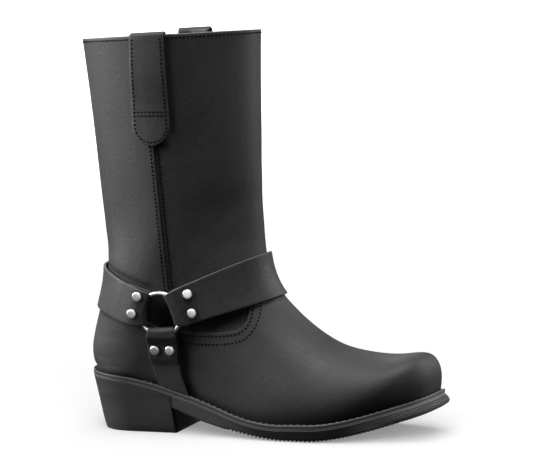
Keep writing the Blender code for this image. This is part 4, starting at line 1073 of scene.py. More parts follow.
def upper_loops(upper):
    """Loops of the upper's wall: up the outside, over the rim and down the lining, with the rim marked."""
    rings, normals = upper.rings, upper.normals
    top = len(rings) - 1
    foot = FOOT_ROWS - EDGE_SKIPPED
    loops = list(rings[:foot] + normals[:foot] * FOOT_STEP)
    for drop, step in EDGE_PROFILE:
        if drop >= 0.0:
            points, facing = upper.below(FOOT_ROWS, drop)
        else:
            points = rings[FOOT_ROWS] + unit(rings[FOOT_ROWS + 1] - rings[FOOT_ROWS]) * -drop
            facing = normals[FOOT_ROWS]
        loops.append(points + facing * FOOT_STEP * step)
    loops += list(rings[FOOT_ROWS + EDGE_SKIPPED:top])
    marked = len(loops)
    for drop, depth in RIM_PROFILE:
        points, facing = upper.below(top, drop)
        loops.append(points - facing * depth)
    unmarked = len(loops)
    inner = [*range(top - INNER_STRIDE, 0, -INNER_STRIDE), 0]
    loops += list(rings[inner] - normals[inner] * SHAFT_WALL)
    for edge in (loops[0], loops[-1]):
        edge[:, 2] = welt_top(edge[:, 0]) + GAP
    rim = np.zeros(len(loops))
    rim[marked + 1:unmarked - 1] = 1.0
    return np.array(loops), rim, unmarked


def make_upper(upper):
    loops, rim, lining_from = upper_loops(upper)
    rows = np.arange(len(loops))
    lined = (rows >= lining_from - RIM_LINED) & (rows < rows[-1])
    # Painted shade on the outside only: by the harness, along the feather line and in the notch
    shade = skin_shade(loops) * (rows < lining_from)[:, None]
    panels = slice(FOOT_ROWS - EDGE_SKIPPED + len(EDGE_PROFILE) - 1, lining_from)
    shade[panels] = np.minimum(shade[panels] + strokes(loops[panels], NOTCH_SHADES), 1.0)
    build("upper", loops, "upper_leather", ["upper_leather", "lining_leather"], closed=True, sharp=50.0,
          marks={"edge": rim[:, None], "shade": shade}, row_finish=lined.astype(int))


# Harness

def ring_frame(side):
    """Centre, normal and two axes of the ring's plane."""
    bases, normals = skin([RING_X], [RING_Z], side)
    base, normal = bases[0], normals[0]
    forward = unit(np.array([1.0, 0.0, 0.0]) - normal * normal[0])
    upward = np.array([0.0, 0.0, 1.0]) - normal * normal[2]
    upward = unit(upward - forward * (upward @ forward))
    return base + normal * RING_LIFT, normal, forward, upward


def arm_end(arm, share):
    """End of an arm in the side view: on the front line, the back line or the welt."""
    if arm is INSTEP_ARM:
        return front_at_height((INSTEP_LOW + INSTEP_HIGH + share * (INSTEP_HIGH - INSTEP_LOW)) / 2.0)
    if arm is HEEL_ARM:
        return back_at_height((HEEL_LOW + HEEL_HIGH + share * (HEEL_HIGH - HEEL_LOW)) / 2.0)
    x = SOLE_STRAP_X + share * SOLE_STRAP_HALF
    return np.array([x, float(welt_top(x)) + SOLE_STRAP_RISE])


def arm_path(arm, share):
    """Side view path of the line at a share of an arm's half-width, from abreast of the ring's centre."""
    angle = math.radians(arm.angle)
    out = np.array([math.cos(angle), math.sin(angle)])
    over = np.array([-out[1], out[0]]) * (-1.0 if arm is HEEL_ARM else 1.0)
    centre = np.array([RING_X, RING_Z])
    start = centre + over * (share * arm.fold_half + arm.shift)
    fold = start + out * arm.fold
    root = centre + out * ROOT_DISTANCE + over * (share * arm.root_half + arm.sway)
    end = arm_end(arm, share)
    knots = np.array([start, fold, root, end])
    marks = np.array([0.0, arm.fold, ROOT_DISTANCE, ROOT_DISTANCE + np.linalg.norm(end - root)])
    near = np.linspace(0.0, ROOT_DISTANCE, NEAR_POINTS, endpoint=False)
    closing = np.sin(np.linspace(0.0, math.pi / 2.0, STRAP_LINE_POINTS))
    far = ROOT_DISTANCE + (marks[-1] - ROOT_DISTANCE) * closing
    places = np.concatenate([near, far])
    gone = np.clip((places - ROOT_DISTANCE) / (marks[-1] - ROOT_DISTANCE), 0.0, 1.0)
    return read(knots, marks, places) + over * (4.0 * arm.bend * gone * (1.0 - gone))[:, None]


def grid_read(grid, row, column):
    """Read a grid of vectors between its points."""
    i = np.minimum(row.astype(int), grid.shape[0] - 2)
    j = np.minimum(column.astype(int), grid.shape[1] - 2)
    down, over = (row - i)[..., None], (column - j)[..., None]
    first = grid[i, j] * (1.0 - over) + grid[i, j + 1] * over
    second = grid[i + 1, j] * (1.0 - over) + grid[i + 1, j + 1] * over
    return first * (1.0 - down) + second * down


class ArmSurface:
    """The boot's skin under an arm of the harness, read by distance from the ring, share and height."""

    def __init__(self, arm, side):
        centre, self.normal, forward, upward = ring_frame(side)
        self.taut = arm.taut
        fine = np.linspace(0.0, 1.0, SURFACE_POINTS)
        base, flat, lengths = [], [], []
        for share in ARM_SHARES:
            path = arm_path(arm, share)
            line = skin_line(path, side)
            level = centre + (path[:, :1] - RING_X) * forward + (path[:, 1:] - RING_Z) * upward
            marks = distances_along(line)
            lengths.append(marks[-1])
            base.append(read(line, marks, fine * marks[-1]))
            flat.append(read(level, marks, fine * marks[-1]))
        self.base, self.flat = np.stack(base, axis=1), np.stack(flat, axis=1)
        self.lengths = np.array(lengths)
        normals = unit(np.cross(np.gradient(self.base, axis=0), np.gradient(self.base, axis=1)))
        self.normals = normals * np.sign(normals[FACING_ROW, len(ARM_SHARES) // 2] @ self.normal)

    def length(self, share):
        return np.interp(share, ARM_SHARES, self.lengths)

    def at(self, distance, share, height):
        distance, share, height = broadcast(distance, share, height)
        row = np.clip(distance / self.length(share), 0.0, 1.0) * (SURFACE_POINTS - 1)
        column = (np.clip(share, -1.0, 1.0) + 1.0) / 2.0 * (len(ARM_SHARES) - 1)
        base, flat, normals = (grid_read(grid, row, column) for grid in (self.base, self.flat, self.normals))
        on_skin = base + normals * height[..., None]
        on_ring = flat + self.normal * (height - RING_LIFT)[..., None]
        follow = smooth((distance - PLANE_FROM) / self.taut)[..., None]
        return on_ring + (on_skin - on_ring) * follow


def outer_ply(arm, distance):
    """Under face height and thickness of an arm's outer ply at a distance from the ring's centre."""
    over_wire = RING_LIFT + POCKET
    crest = RING_RADIUS - RING_BACK * math.cos(math.radians(arm.angle)) + WIRE_CREST
    over_ply = STRAP_LIFT + SKIVED_THICKNESS + GAP
    down = over_wire + (over_ply - over_wire) * smooth((distance - crest) / arm.slope)
    past_end = (distance - FOLD_END - GAP) / (arm.down - FOLD_END - GAP)
    low = down + (STRAP_LIFT - over_ply) * smooth(past_end)
    full = smooth((distance - SKIVE_FROM) / SKIVE_RUN)
    return low, SKIVED_THICKNESS + (STRAP_THICKNESS - SKIVED_THICKNESS) * full


def strap_profile(half):
    """Shares across and through a strap round its section, with rounded cut edges, and a mark on them."""
    rounding = STRAP_EDGE / half
    across = np.linspace(rounding - 1.0, 1.0 - rounding, ACROSS_POINTS)
    through = 1.0 - crowded(THROUGH_POINTS + 2)[1:-1]
    swell = (1.0 - np.abs(2.0 * through - 1.0) ** EDGE_POWER) ** (1.0 / EDGE_POWER)
    swell = 1.0 - rounding + rounding * swell
    shares = np.concatenate([across, swell, across[::-1], -swell])
    faces = np.concatenate([np.ones(ACROSS_POINTS), through, np.zeros(ACROSS_POINTS), through[::-1]])
    edge = np.tile(np.repeat([0.0, 1.0], [ACROSS_POINTS, THROUGH_POINTS]), 2)
    return shares, faces, edge


def arm_loops(arm, side, far_steps):
    """Loops of a strap from its folded-back end, round the ring and out along the arm."""
    surface = ArmSurface(arm, side)
    shares, faces, _ = strap_profile(arm.root_half)
    turn = arm.fold + POCKET + SKIVED_THICKNESS  # centre of the fold from the ring's centre
    stations = [(distance, STRAP_LIFT, distance, STRAP_LIFT + SKIVED_THICKNESS)
                for distance in np.linspace(FOLD_END, turn, FOLD_STEPS)]
    for angle in np.radians(np.linspace(-90.0, 90.0, TURN_STEPS)[1:-1]):
        outside, inside = ((turn - radius * math.cos(angle), RING_LIFT + radius * math.sin(angle))
                           for radius in (POCKET + SKIVED_THICKNESS, POCKET))
        stations.append((*outside, *inside))
    for distance in np.linspace(turn, arm.down, PLY_STEPS):
        low, thickness = outer_ply(arm, distance)
        stations.append((distance, low + thickness, distance, low))
    loops = []
    for far_out, high, near_in, low in stations:
        fade = float(1.0 - smooth((near_in - turn) / BOW_RUN))
        curve = (arm.bow * shares ** 2 + arm.tilt * shares) * fade
        distance = near_in + (far_out - near_in) * faces - curve
        loops.append(surface.at(distance, shares, low + (high - low) * faces))
    for step in np.linspace(0.0, 1.0, far_steps + 1)[1:]:
        distance = arm.down + step * (surface.length(shares) - arm.down)
        loops.append(surface.at(distance, shares, STRAP_LIFT + STRAP_THICKNESS * faces))
    return loops


def joined_arms(arm):
    """Loops of a strap that runs from ring to ring, with its two halves meeting in the middle plane."""
    lateral, medial = arm_loops(arm, LATERAL, FAR_STEPS), arm_loops(arm, MEDIAL, FAR_STEPS)
    return lateral[:-1] + [(lateral[-1] + medial[-1]) / 2.0] + medial[-2::-1]


def make_strap(name, loops, half, raw=STRAP_RAW):
    edge = strap_profile(half)[2]
    build(name, loops, "strap_leather", marks={"edge": raw * edge[None, :]}, sharp=60.0)


def make_ring(side):
    centre, normal, forward, upward = ring_frame(side)
    turns = np.linspace(0.0, 2.0 * math.pi, RING_SIDES, endpoint=False)[:, None, None]
    angles = np.linspace(0.0, 2.0 * math.pi, WIRE_SIDES, endpoint=False)[None, :, None]
    out = forward * np.cos(turns) + upward * np.sin(turns)
    wire = out * (RING_RADIUS + WIRE_RADIUS * np.cos(angles)) + normal * WIRE_RADIUS * np.sin(angles)
    build("ring_" + SIDE_NAMES[side], centre - forward * RING_BACK + wire, "nickel", closed=True)


def rivet_seats():
    """Seats and facings of all the rivets, and the names of their solids."""
    rows = []
    for arm in ARMS:
        for side, side_name in SIDE_NAMES.items():
            surface = ArmSurface(arm, side)
            for sign, end_name in ((-1.0, "a"), (1.0, "b")):
                end = (sign * arm.rivet_half + arm.rivet_shift) / arm.root_half
                distance = arm.rivet + sign * arm.skew
                height = float(sum(outer_ply(arm, distance)))
                near, far, low, high, seat = (
                    surface.at(distance + out * SEAT_REACH, end + over * SEAT_SHARE, height)
                    for out, over in ((-1, 0), (1, 0), (0, -1), (0, 1), (0, 0)))
                normal = unit(np.cross(far - near, high - low))
                normal *= np.sign(normal[1] * side)
                rows.append((seat + normal * GAP, normal, f"rivet_{arm.name}_{side_name}_{end_name}"))
    return zip(*rows)


def lathe(shape, profile, sides):
    """Turn radii and heights about the Z axis into rings of vertices, with faces between them."""
    turns = np.linspace(0.0, 2.0 * math.pi, sides, endpoint=False)
    rings = []
    for radius, height in profile:
        if radius == 0.0:
            rings.append([shape.verts.new((0.0, 0.0, height))] * sides)
        else:
            rings.append([shape.verts.new((radius * math.cos(turn), radius * math.sin(turn), height))
                          for turn in turns])
    for ring, following in zip(rings, rings[1:]):
        for i in range(sides):
            j = (i + 1) % sides
            shape.faces.new(list(dict.fromkeys([ring[i], following[i], following[j], ring[j]])))
    return rings


def rivet_shape():
    """One rivet at the origin, turned from its profile."""
    shape = bmesh.new()
    shade = shape.verts.layers.float.new("shade")
    rings = lathe(shape, [(radius * MM, height * MM) for radius, height in RIVET_PROFILE], RIVET_SIDES)
    for (radius, _), ring in zip(RIVET_PROFILE, rings):
        for vert in ring:
            # Painted shade on the cap's outer rim, past RIVET_FACE
            vert[shade] = float(smooth((radius - RIVET_FACE) / FACE_FADE))
    shape.faces.new(rings[-1])
    bmesh.ops.recalc_face_normals(shape, faces=shape.faces[:])
    mesh = bpy.data.meshes.new("rivet_shape")
    shape.to_mesh(mesh)
    shape.free()
    return link("rivet_shape", mesh)


# Pull loops and piping

def rim_height(x):
    """Height of the collar at x."""
    collar = SECTIONS[-1]
    share = (x - collar.foot_x) / (collar.top_x - collar.foot_x)
    return collar.foot_z + share * (collar.top_z - collar.foot_z)


def loop_half(z, inset=0.0):
    """Half-width of a pull loop at heights, with its round lower end, less an inset all round."""
    end = LOOP_BLUNT if inset == 0.0 else 1.0
    round_share = np.clip((LOOP_FOOT + LOOP_ROUND - z) / (LOOP_ROUND - inset), 0.0, end)
    height_share = (z - LOOP_FOOT) / (rim_height(LOOP_X) - LOOP_FOOT)
    half = LOOP_HALF_LOW + (LOOP_HALF_HIGH - LOOP_HALF_LOW) * height_share - inset
    return half * np.sqrt(1.0 - round_share ** 2)


def loop_lift(z):
    """Height of the loop's under face over the skin: it stands off above its cross seam."""
    rim = rim_height(LOOP_X)
    share = np.clip((z - LOOP_LIFT_FROM) / (rim - LOOP_LIFT_FROM), 0.0, 1.0)
    lift = LOOP_LIFT_LOW + (LOOP_LIFT_HIGH - LOOP_LIFT_LOW) * smooth(share)
    return lift + LOOP_BULGE * np.sin(share * math.pi) ** 2


def loop_points(x, z, lift, side):
    """Points over the skin, carried straight up past the rim and slanting with it, and their normals."""
    x, z, lift = broadcast(x, z, lift)
    rim = rim_height(LOOP_X)
    low = np.minimum(z, rim - RIM_MARGIN)
    points, normals = skin(x, low, side, panels=0.0)
    points[..., 1] -= side * panel_dip(x, low) * smooth(-lift / SHAFT_WALL)
    tilt = (rim_height(x) - rim) * smooth((z - rim + 3.0 * RIM_MARGIN) / (2.0 * RIM_MARGIN))
    points = points + normals * lift[..., None]
    points[..., 2] += z - low + tilt
    return points, normals


def pull_loop_loops(side):
    """Loops of a pull loop: up its outside, over the rim and down inside the shaft."""
    rim = rim_height(LOOP_X)
    inside_lift = SHAFT_WALL + 2.0 * GAP
    low_end = LOOP_FOOT + LOOP_ROUND * (1.0 - np.cos(np.linspace(0.0, math.pi / 2.0, LOOP_END_STEPS)))
    sides = np.linspace(LOOP_FOOT + LOOP_ROUND, rim - RIM_MARGIN, LOOP_SIDE_STEPS)[1:]
    stations = []  # half-width, then height and lift of the outer face and of the inner one
    for z in np.concatenate([low_end, sides]):
        lift = loop_lift(z)
        stations.append((loop_half(z), z, lift + LOOP_THICKNESS, z, lift))
    centre, reach = (LOOP_LIFT_HIGH - inside_lift) / 2.0, (LOOP_LIFT_HIGH + inside_lift) / 2.0
    for turn in np.linspace(0.0, math.pi, LOOP_TURN_STEPS):
        rise, swing = math.sin(turn), math.cos(turn)
        high, low = (rim + rise * (LOOP_RISE[side] + ply) for ply in (LOOP_THICKNESS, 0.0))
        far, near = (centre + swing * (reach + ply) for ply in (LOOP_THICKNESS, 0.0))
        stations.append((LOOP_HALF_HIGH, high, far, low, near))
    for share in np.linspace(0.0, 1.0, LOOP_INSIDE_STEPS)[1:]:
        z = rim - share * LOOP_INSIDE
        stations.append((LOOP_HALF_HIGH, z, -inside_lift - LOOP_THICKNESS, z, -inside_lift))
    shares, faces, _ = strap_profile(LOOP_HALF_HIGH)
    loops = []
    for half, high_z, high_lift, low_z, low_lift in stations:
        heights = low_z + (high_z - low_z) * faces
        lifts = low_lift + (high_lift - low_lift) * faces
        loops.append(loop_points(LOOP_X + shares * half, heights, lifts, side)[0])
    return loops


def pull_loop_seams(side):
    """Stitch rows of a pull loop: round its edge, and twice across."""
    top = rim_height(LOOP_X) - RIM_MARGIN
    turn = np.linspace(-math.pi / 2.0, math.pi / 2.0, ROUND_POINTS)
    low = LOOP_FOOT + LOOP_ROUND - (LOOP_ROUND - LOOP_STITCH_INSET) * np.cos(turn)
    half = loop_half(LOOP_FOOT + LOOP_ROUND, LOOP_STITCH_INSET)
    up = np.linspace(LOOP_FOOT + LOOP_ROUND, top, SIDE_POINTS)[1:]
    wide = loop_half(up, LOOP_STITCH_INSET)
    x = LOOP_X + np.concatenate([-wide[::-1], half * np.sin(turn), wide])
    z = np.concatenate([up[::-1], low, up])
    rows = [(x, z)]
    for height in CROSS_SEAMS:
        half = loop_half(height, LOOP_STITCH_INSET)
        rows.append((LOOP_X + np.linspace(-half, half, CROSS_POINTS), height))
    return [seam_part(*loop_points(x, z, loop_lift(z) + LOOP_THICKNESS, side)) for x, z in rows]


def seam_line(share):
    """Point of the side seam in the side view at a share of the piping's length."""
    (top_x, top_z), (foot_x, foot_z) = PIPING_TOP, PIPING_FOOT
    return top_x + share * (foot_x - top_x), top_z + share * (foot_z - top_z)


def make_piping(side):
    x, z = seam_line(np.linspace(0.0, 1.0, PIPING_STEPS + 1))
    turn = np.linspace(0.0, math.pi, PIPING_SIDES)
    heights = PIPING_BASE + PIPING_HEIGHT * np.sin(turn) ** PIPING_POWER
    points, normals = skin(x[:, None] + PIPING_HALF * np.cos(turn), z[:, None], side)
    loops = points + normals * heights[None, :, None]
    build("side_piping_" + SIDE_NAMES[side], loops, "upper_leather", ["piping_leather"])


def side_seams(side):
    """The two stitch rows beside the piping."""
    ends = [(PIPING_TOP[1] - z) / (PIPING_TOP[1] - PIPING_FOOT[1]) for z in (SEAM_TOP, SEAM_FOOT)]
    x, z = seam_line(np.linspace(*ends, PIPING_STEPS))
    return [seam_part(*skin(x + offset, z, side)) for offset in SEAM_OFFSETS]


# Sole, welt and insole

def toe_share(x):
    """How far the toe's bevel has set in at x."""
    return float(smooth((x - TOE_ROUND_X) / TOE_BEVEL_RUN))


def groove_depth(drops):
    """Share of a groove's depth at drops below the outsole's top."""
    return sum(np.exp(-((drops - groove) / (0.5 * GROOVE_HALF)) ** 2) for groove in EDGE_GROOVES)


def edge_drops():
    """Rows down the outsole's side, close together at the grooves and the lower edge."""
    near = np.array([-1.0, -0.5, 0.0, 0.5, 1.0]) * GROOVE_HALF
    grooves = np.concatenate([groove + near for groove in EDGE_GROOVES])
    low = OUTSOLE_EDGE - np.array([1.2, 0.8, 0.45, 0.2, 0.05, 0.0])
    return np.concatenate([[0.0, 0.15, 0.6], grooves, low])


def tread_rise(x, depth):
    """How far the ground between the tread's ribs lies above the sole's lowest points."""
    return depth * smooth((x - TREAD_FROM) / TREAD_RUN) * smooth((TREAD_TO - x) / TREAD_RUN)


def sole_side(station, on_heel, side, groove, tread):
    """Points down one side of the outsole at a station, and marks for the painted highlight on its upper lip
    and the painted shade on its dark part.
    """
    drops = edge_drops()
    top_x, _ = outline(station, WELT_REACH, side)
    fore = float(smooth((top_x - GROOVE_FROM) / GROOVE_RUN))
    toe = toe_share(top_x)
    cut = groove_depth(drops) * fore
    flare = TOE_FLARE * toe * np.clip(1.0 - drops / FLARE_DEPTH, 0.0, 1.0) ** FLARE_POWER
    chamfer = HEEL_CHAMFER if on_heel else EDGE_CHAMFER + TOE_CHAMFER * toe
    run = LOW_RUN + TOE_LOW_RUN * toe
    low = np.clip((drops - OUTSOLE_EDGE + run) / run, 0.0, 1.0)
    x, y = outline(station, WELT_REACH - groove * cut - chamfer * low ** 2 - flare, side)
    top = welt_top(x) - WELT_THICKNESS - GAP
    below = np.clip((drops - HEEL_BAND) / (OUTSOLE_EDGE - HEEL_BAND), 0.0, 1.0)
    if on_heel:
        z = np.where(drops <= HEEL_BAND, top - drops, (top - HEEL_BAND) * (1.0 - below))
        share = 1.0 - z / top
        foot_x = HEEL_FOOT_BACK + x * (BREAST_X + BREAST_LEAN - HEEL_FOOT_BACK) / BREAST_X
        x = x + (foot_x - x) * share
        y = y * (1.0 + (HEEL_TAPER - 1.0) * share)
    else:
        bottom = sole_bottom(x) + tread_rise(x, tread)
        z = np.where(drops <= HEEL_BAND, top - drops, top - HEEL_BAND + (bottom - top + HEEL_BAND) * below)
    lip_highlights = np.zeros(len(drops))
    lip_highlights[:2] = LIP_HIGHLIGHT
    # Painted shade on the breast, and on the edge towards the ball
    at_breast = abs(top_x - BREAST_X) < 1.0
    dark = np.full(len(drops), float(at_breast or smooth((top_x - DARK_FROM) / DARK_RUN) * (1.0 - fore)))
    return np.stack([x, y, z], axis=1), lip_highlights, dark


def toe_stations(count):
    return 3.0 - np.linspace(0.0, 1.0, count)[-2::-1] ** TOE_CROWDING


def sole_stations():
    """Stations along the outsole, each with a flag that says whether it stands on the heel."""
    block = forward_station(np.linspace(HEEL_ROUND_X, BREAST_X, BLOCK_STATIONS)[1:])
    front = forward_station(np.linspace(BREAST_X + BREAST_STEP, TOE_ROUND_X, FRONT_STATIONS))
    heel = [(station, True) for station in (*np.linspace(0.0, 1.0, HEEL_STATIONS), *block)]
    return heel + [(station, False) for station in (*front, *toe_stations(TOE_STATIONS))]


def make_outsole(groove, tread):
    rows = []
    over = np.linspace(0.0, 1.0, SOLE_COLUMNS)[1:-1, None]
    plain = np.zeros(len(over))
    for station, on_heel in sole_stations():
        lateral, lip_highlights, dark = sole_side(station, on_heel, LATERAL, groove, tread)
        medial = sole_side(station, on_heel, MEDIAL, groove, tread)[0]
        under = lateral[-1] + over * (medial[-1] - lateral[-1])
        top = medial[0] + over * (lateral[0] - medial[0])
        rows.append((np.concatenate([lateral, under, medial[::-1], top]),
                     np.concatenate([lip_highlights, plain, lip_highlights[::-1], plain]),
                     np.concatenate([dark, plain, dark[::-1], plain])))
    loops, edges, shades = (np.array(column) for column in zip(*rows))
    build("outsole", loops, "sole_rubber", pointed=True, sharp=38.0, marks={"edge": edges, "shade": shades})


def make_tread(pitch, depth):
    """Ribs across the outsole's under side, from edge to edge."""
    rows = []
    for x in np.arange(TREAD_FROM + pitch, TREAD_TO - 0.5 * pitch, pitch):
        inset = EDGE_CHAMFER + TOE_CHAMFER * toe_share(x)
        ends = [np.array([x, side * (plan_width(min(x, RIB_LAST_X), side) + WELT_REACH - inset), 0.0])
                for side in SIDE_NAMES]
        slope = float(sole_bottom(x + 1.0) - sole_bottom(x - 1.0)) / 2.0
        middle = (ends[0] + ends[1]) / 2.0
        middle[2] = float(sole_bottom(x)) + depth
        run = place(ends[1]) - place(ends[0])
        rows.append((place(middle), unit(run), unit(np.array([slope, 0.0, -1.0])), np.linalg.norm(run)))
    points, across, facing, spans = zip(*rows)
    marks = {"across": across, "facing": facing, "span": spans}
    piece = joined("boot_tread", [(points, np.zeros((0, 2)), marks)])
    values = {"Depth": depth * MM, "Width": pitch * MM / math.sqrt(3.0), "Material": finish("sole_rubber")}
    fit(grown(piece, tread_tree(), values), "sole_rubber")


def half_stations(heel, forward, toe):
    """Stations along half an outline: numbers of them round the heel, forward and round the toe."""
    sides = np.linspace(1.0, 2.0, forward)[1:]
    return np.concatenate([np.linspace(0.0, 1.0, heel), sides, toe_stations(toe)])


def round_stations():
    """Stations once round an outline, with the side each lies on."""
    half = half_stations(HEEL_STATIONS, WELT_STATIONS, TOE_STATIONS)
    return [(share, LATERAL) for share in half] + [(share, MEDIAL) for share in half[-2:0:-1]]


def welt_edge(station, side):
    """Reach of the welt outside the feather line at a station, and that of its stitch row."""
    edge = WELT_REACH - WELT_TOE_INSET * toe_share(outline(station, WELT_REACH, side)[0])
    return edge, min(WELT_STITCH_GROW, edge - WELT_LIP)


def welt_profile(edge, channel):
    """Reach outside the feather line, drop below the welt's top, edge mark for a painted highlight, and
    painted shade, round its section.
    """
    inner = -SHAFT_WALL - GAP
    return np.array((
        (inner, 0.0, 0.0, 1.0), (channel - 0.8, 0.06, 0.0, 1.0), (channel - 0.4, 0.38, 0.0, 1.0),
        (channel + 0.4, 0.38, 0.0, 0.9), (channel + 0.8, 0.06, 0.0, 0.3), (edge - 0.7, 0.0, 0.1, 0.0),
        (edge - 0.25, 0.08, 0.3, 0.0), (edge - 0.06, 0.28, 0.35, 0.0), (edge, 0.65, 0.1, 0.0),
        (edge, 1.6, 0.0, 0.3), (edge - 0.12, 2.5, 0.0, 0.3), (edge, 3.1, 0.6, 0.0),
        (edge - 0.1, 3.45, 1.0, 0.0), (edge - 0.4, WELT_THICKNESS, 0.7, 0.0),
        (inner, WELT_THICKNESS, 0.0, 0.0),
    ))


def make_welt():
    rows = []
    for station, side in round_stations():
        reach, drop, edge, shade = welt_profile(*welt_edge(station, side)).T
        x, y = outline(station, reach, side)
        rows.append((np.stack([x, y, welt_top(x) - drop], axis=1), edge, shade))
    loops, edges, shades = (np.array(column) for column in zip(*rows))
    build("welt", loops, "sole_rubber", closed=True, marks={"edge": edges, "shade": shades})


def welt_seam():
    """The stitch row on the welt, round the forefoot from heel to heel."""
    points = []
    for station, side in round_stations():
        x, y = outline(station, welt_edge(station, side)[1], side)
        if x > WELT_STITCH_FROM:
            points.append((x, y, float(welt_top(x)) - WELT_STITCH_SINK))
    points = np.array(points)
    return [seam_part(points, np.broadcast_to([0.0, 0.0, 1.0], points.shape))]


def make_insole():
    over = np.linspace(0.0, 1.0, INSOLE_COLUMNS)[1:-1, None]
    loops = []
    for station in half_stations(*INSOLE_STATIONS):
        ends = [outline(station, -INSOLE_INSET, side) for side in SIDE_NAMES]
        tops, lows = (np.array([(x, y, welt_top(x) + rise) for x, y in ends])
                      for rise in (INSOLE_RISE, -WELT_THICKNESS))
        top = tops[1] + over * (tops[0] - tops[1])
        top[:, 2] -= INSOLE_CUP * np.sin(over[:, 0] * math.pi) * min(1.0, abs(tops[0][1]) / CUP_FROM)
        low = lows[0] + over * (lows[1] - lows[0])
        loops.append(np.concatenate([tops[:1], lows[:1], low, lows[1:], tops[1:], top]))
    build("insole", loops, "insole_fibre", pointed=True)


# Stitches

def make_stitches(kind, parts, slot):
    """Stitches along all the parts, in the thread of a kind of seam."""
    thread = bpy.context.scene.boot_thread
    pitch, length, width = (getattr(thread, f"{kind}_{size}") for size in ("pitch", "length", "width"))
    values = {"Pitch": pitch, "Length": length, "Width": width, "Height": width,
              "Material": finish(kind + "_thread")}
    tree = bpy.data.node_groups.get("boot_stitches") or stitch_tree()
    fit(grown(joined(f"boot_{kind}_stitches", parts), tree, values), slot)


def upper_seams(upper):
    """Stitch rows of the upper: along the vamp's edge and round the collar."""
    parts = []
    path = vamp_edge_path()
    run = unit(np.gradient(path, axis=0))
    for drop in VAMP_ROWS:
        row = path + drop * np.stack([VAMP_ROW_SQUEEZE * run[:, 1], -run[:, 0]], axis=1)
        row = row[(row[:, 0] > VAMP_ROW_FROM) & (row[:, 1] < VAMP_ROW_TOP)]
        parts += [seam_part(*skin(*row.T, side), FOOT_STEP) for side in SIDE_NAMES]
    return parts + [seam_part(*upper.below(len(upper.rings) - 1, COLLAR_ROW), closed=True)]


# Stage

STAGE_FLAT, STAGE_CURVE, STAGE_WALL = 3.4, 1.2, 3.2  # radius of the floor, its curve, its wall, in metres
FLOOR_RINGS = (0.6, 1.2, 2.0, 2.7)  # radii of the flat part's rings
FLOOR_DROP = 0.0003  # floor below the sole
CURVE_STEPS, BOWL_SIDES = 16, 96
FLOOR_GLOW, WALL_GLOW = 0.28, 1.1  # light of the floor's paper itself, near the boot and far
GLOW_FROM, GLOW_TO = 1.2, STAGE_FLAT + 0.6 * STAGE_CURVE
HORIZON = 0.3  # half the height over which the sky fades into the ground
FAR_CLIP = 100.0
Sun = namedtuple("Sun", "name towards strength angle")
FLOOR_SUNS = (
    Sun("floor_over", (0.0, 0.0, 1.0), 1.2, 60.0),
    Sun("floor_front", (0.3, -0.95, 0.45), 2.6, 60.0),
)
SENSOR = 36.0
Lamp = namedtuple("Lamp", "name lights place aim size power")  # lights: the pieces of one slot, or all
LAMPS = (
    Lamp("key", "all", (-1.55, -0.42, 0.90), (-0.03, 0.0, 0.17), (0.9, 1.1), 79.0),
    Lamp("top", "all", (0.25, -0.32, 1.75), (0.05, 0.0, 0.08), (0.8, 0.8), 44.0),
    Lamp("rim", "all", (1.15, 1.05, 0.75), (0.0, 0.0, 0.17), (0.6, 1.0), 18.0),
    Lamp("inside", "all", (-0.9, 1.5, 0.9), (0.0, 0.0, 0.15), (0.8, 0.8), 8.0),
    Lamp("straps", "strap_leather", (-1.5, -0.9, 0.35), (-0.1, 0.0, 0.1), (0.6, 0.6), 4.0),
    Lamp("metal_lateral", "nickel", (0.15, -1.5, 0.45), (-0.07, 0.0, 0.1), (1.8, 1.4), 11.5),
    Lamp("metal_medial", "nickel", (0.15, 1.5, 0.45), (-0.07, 0.0, 0.1), (1.8, 1.4), 11.5),
    Lamp("toe", "sole_rubber", (1.65, 0.0, 0.3), (0.12, 0.0, 0.03), (0.5, 0.5), 36.0),
    Lamp("toe_face", "upper_leather", (1.6, -0.45, 0.4), (0.1, 0.0, 0.05), (0.6, 0.6), 4.0),
)


def make_bowl(colour):
    """Round floor that curves up into a wall, so that every view has the same plain ground."""
    turn = np.linspace(0.0, math.pi / 2.0, CURVE_STEPS)
    radii = [*FLOOR_RINGS, *(STAGE_FLAT + STAGE_CURVE * np.sin(turn)), STAGE_FLAT + STAGE_CURVE]
    heights = [*np.zeros(len(FLOOR_RINGS)), *(STAGE_CURVE * (1.0 - np.cos(turn))), STAGE_WALL]
    floor = CAD_BOX[0][2] - FLOOR_DROP
    shape = bmesh.new()
    rings = lathe(shape, [(radius, floor + height) for radius, height in zip(radii, heights)], BOWL_SIDES)
    shape.faces.new(rings[0])
    mesh = bpy.data.meshes.new("floor")
    shape.to_mesh(mesh)
    shape.free()
    mesh.shade_smooth()
    made, wire, spot = new_finish("floor_paper")
    tooth = noise(wire, spot, 90.0, 3.0, 0.6)
    reach = wire.node("ShaderNodeVectorMath", {"operation": "LENGTH"}, {0: spot}, "Value")
    glow = reach.ramp(GLOW_FROM, GLOW_TO).blend(scaled(colour, FLOOR_GLOW), scaled(colour, WALL_GLOW))
    end_finish(made, wire, Specular_IOR_Level=0.0, Emission_Strength=1.0, Emission_Color=glow,
               Base_Color=tooth.blend(scaled(colour, 0.985), rgba(colour)), Roughness=0.7 + 0.1 * tooth)
    mesh.materials.append(made)
    floor_piece = link("floor", mesh)
    floor_piece.visible_diffuse = False
    floor_piece.visible_glossy = False
    return floor_piece


def make_light(name, kind, towards, receivers, **values):
    """A light that shines from a direction on a collection of pieces."""
    data = bpy.data.lights.new(name, kind)
    for key, value in values.items():
        setattr(data, key, value)
    made = link(name, data)
    made.rotation_euler = towards.to_track_quat("Z", "Y").to_euler()
    made.light_linking.receiver_collection = receivers
    return made


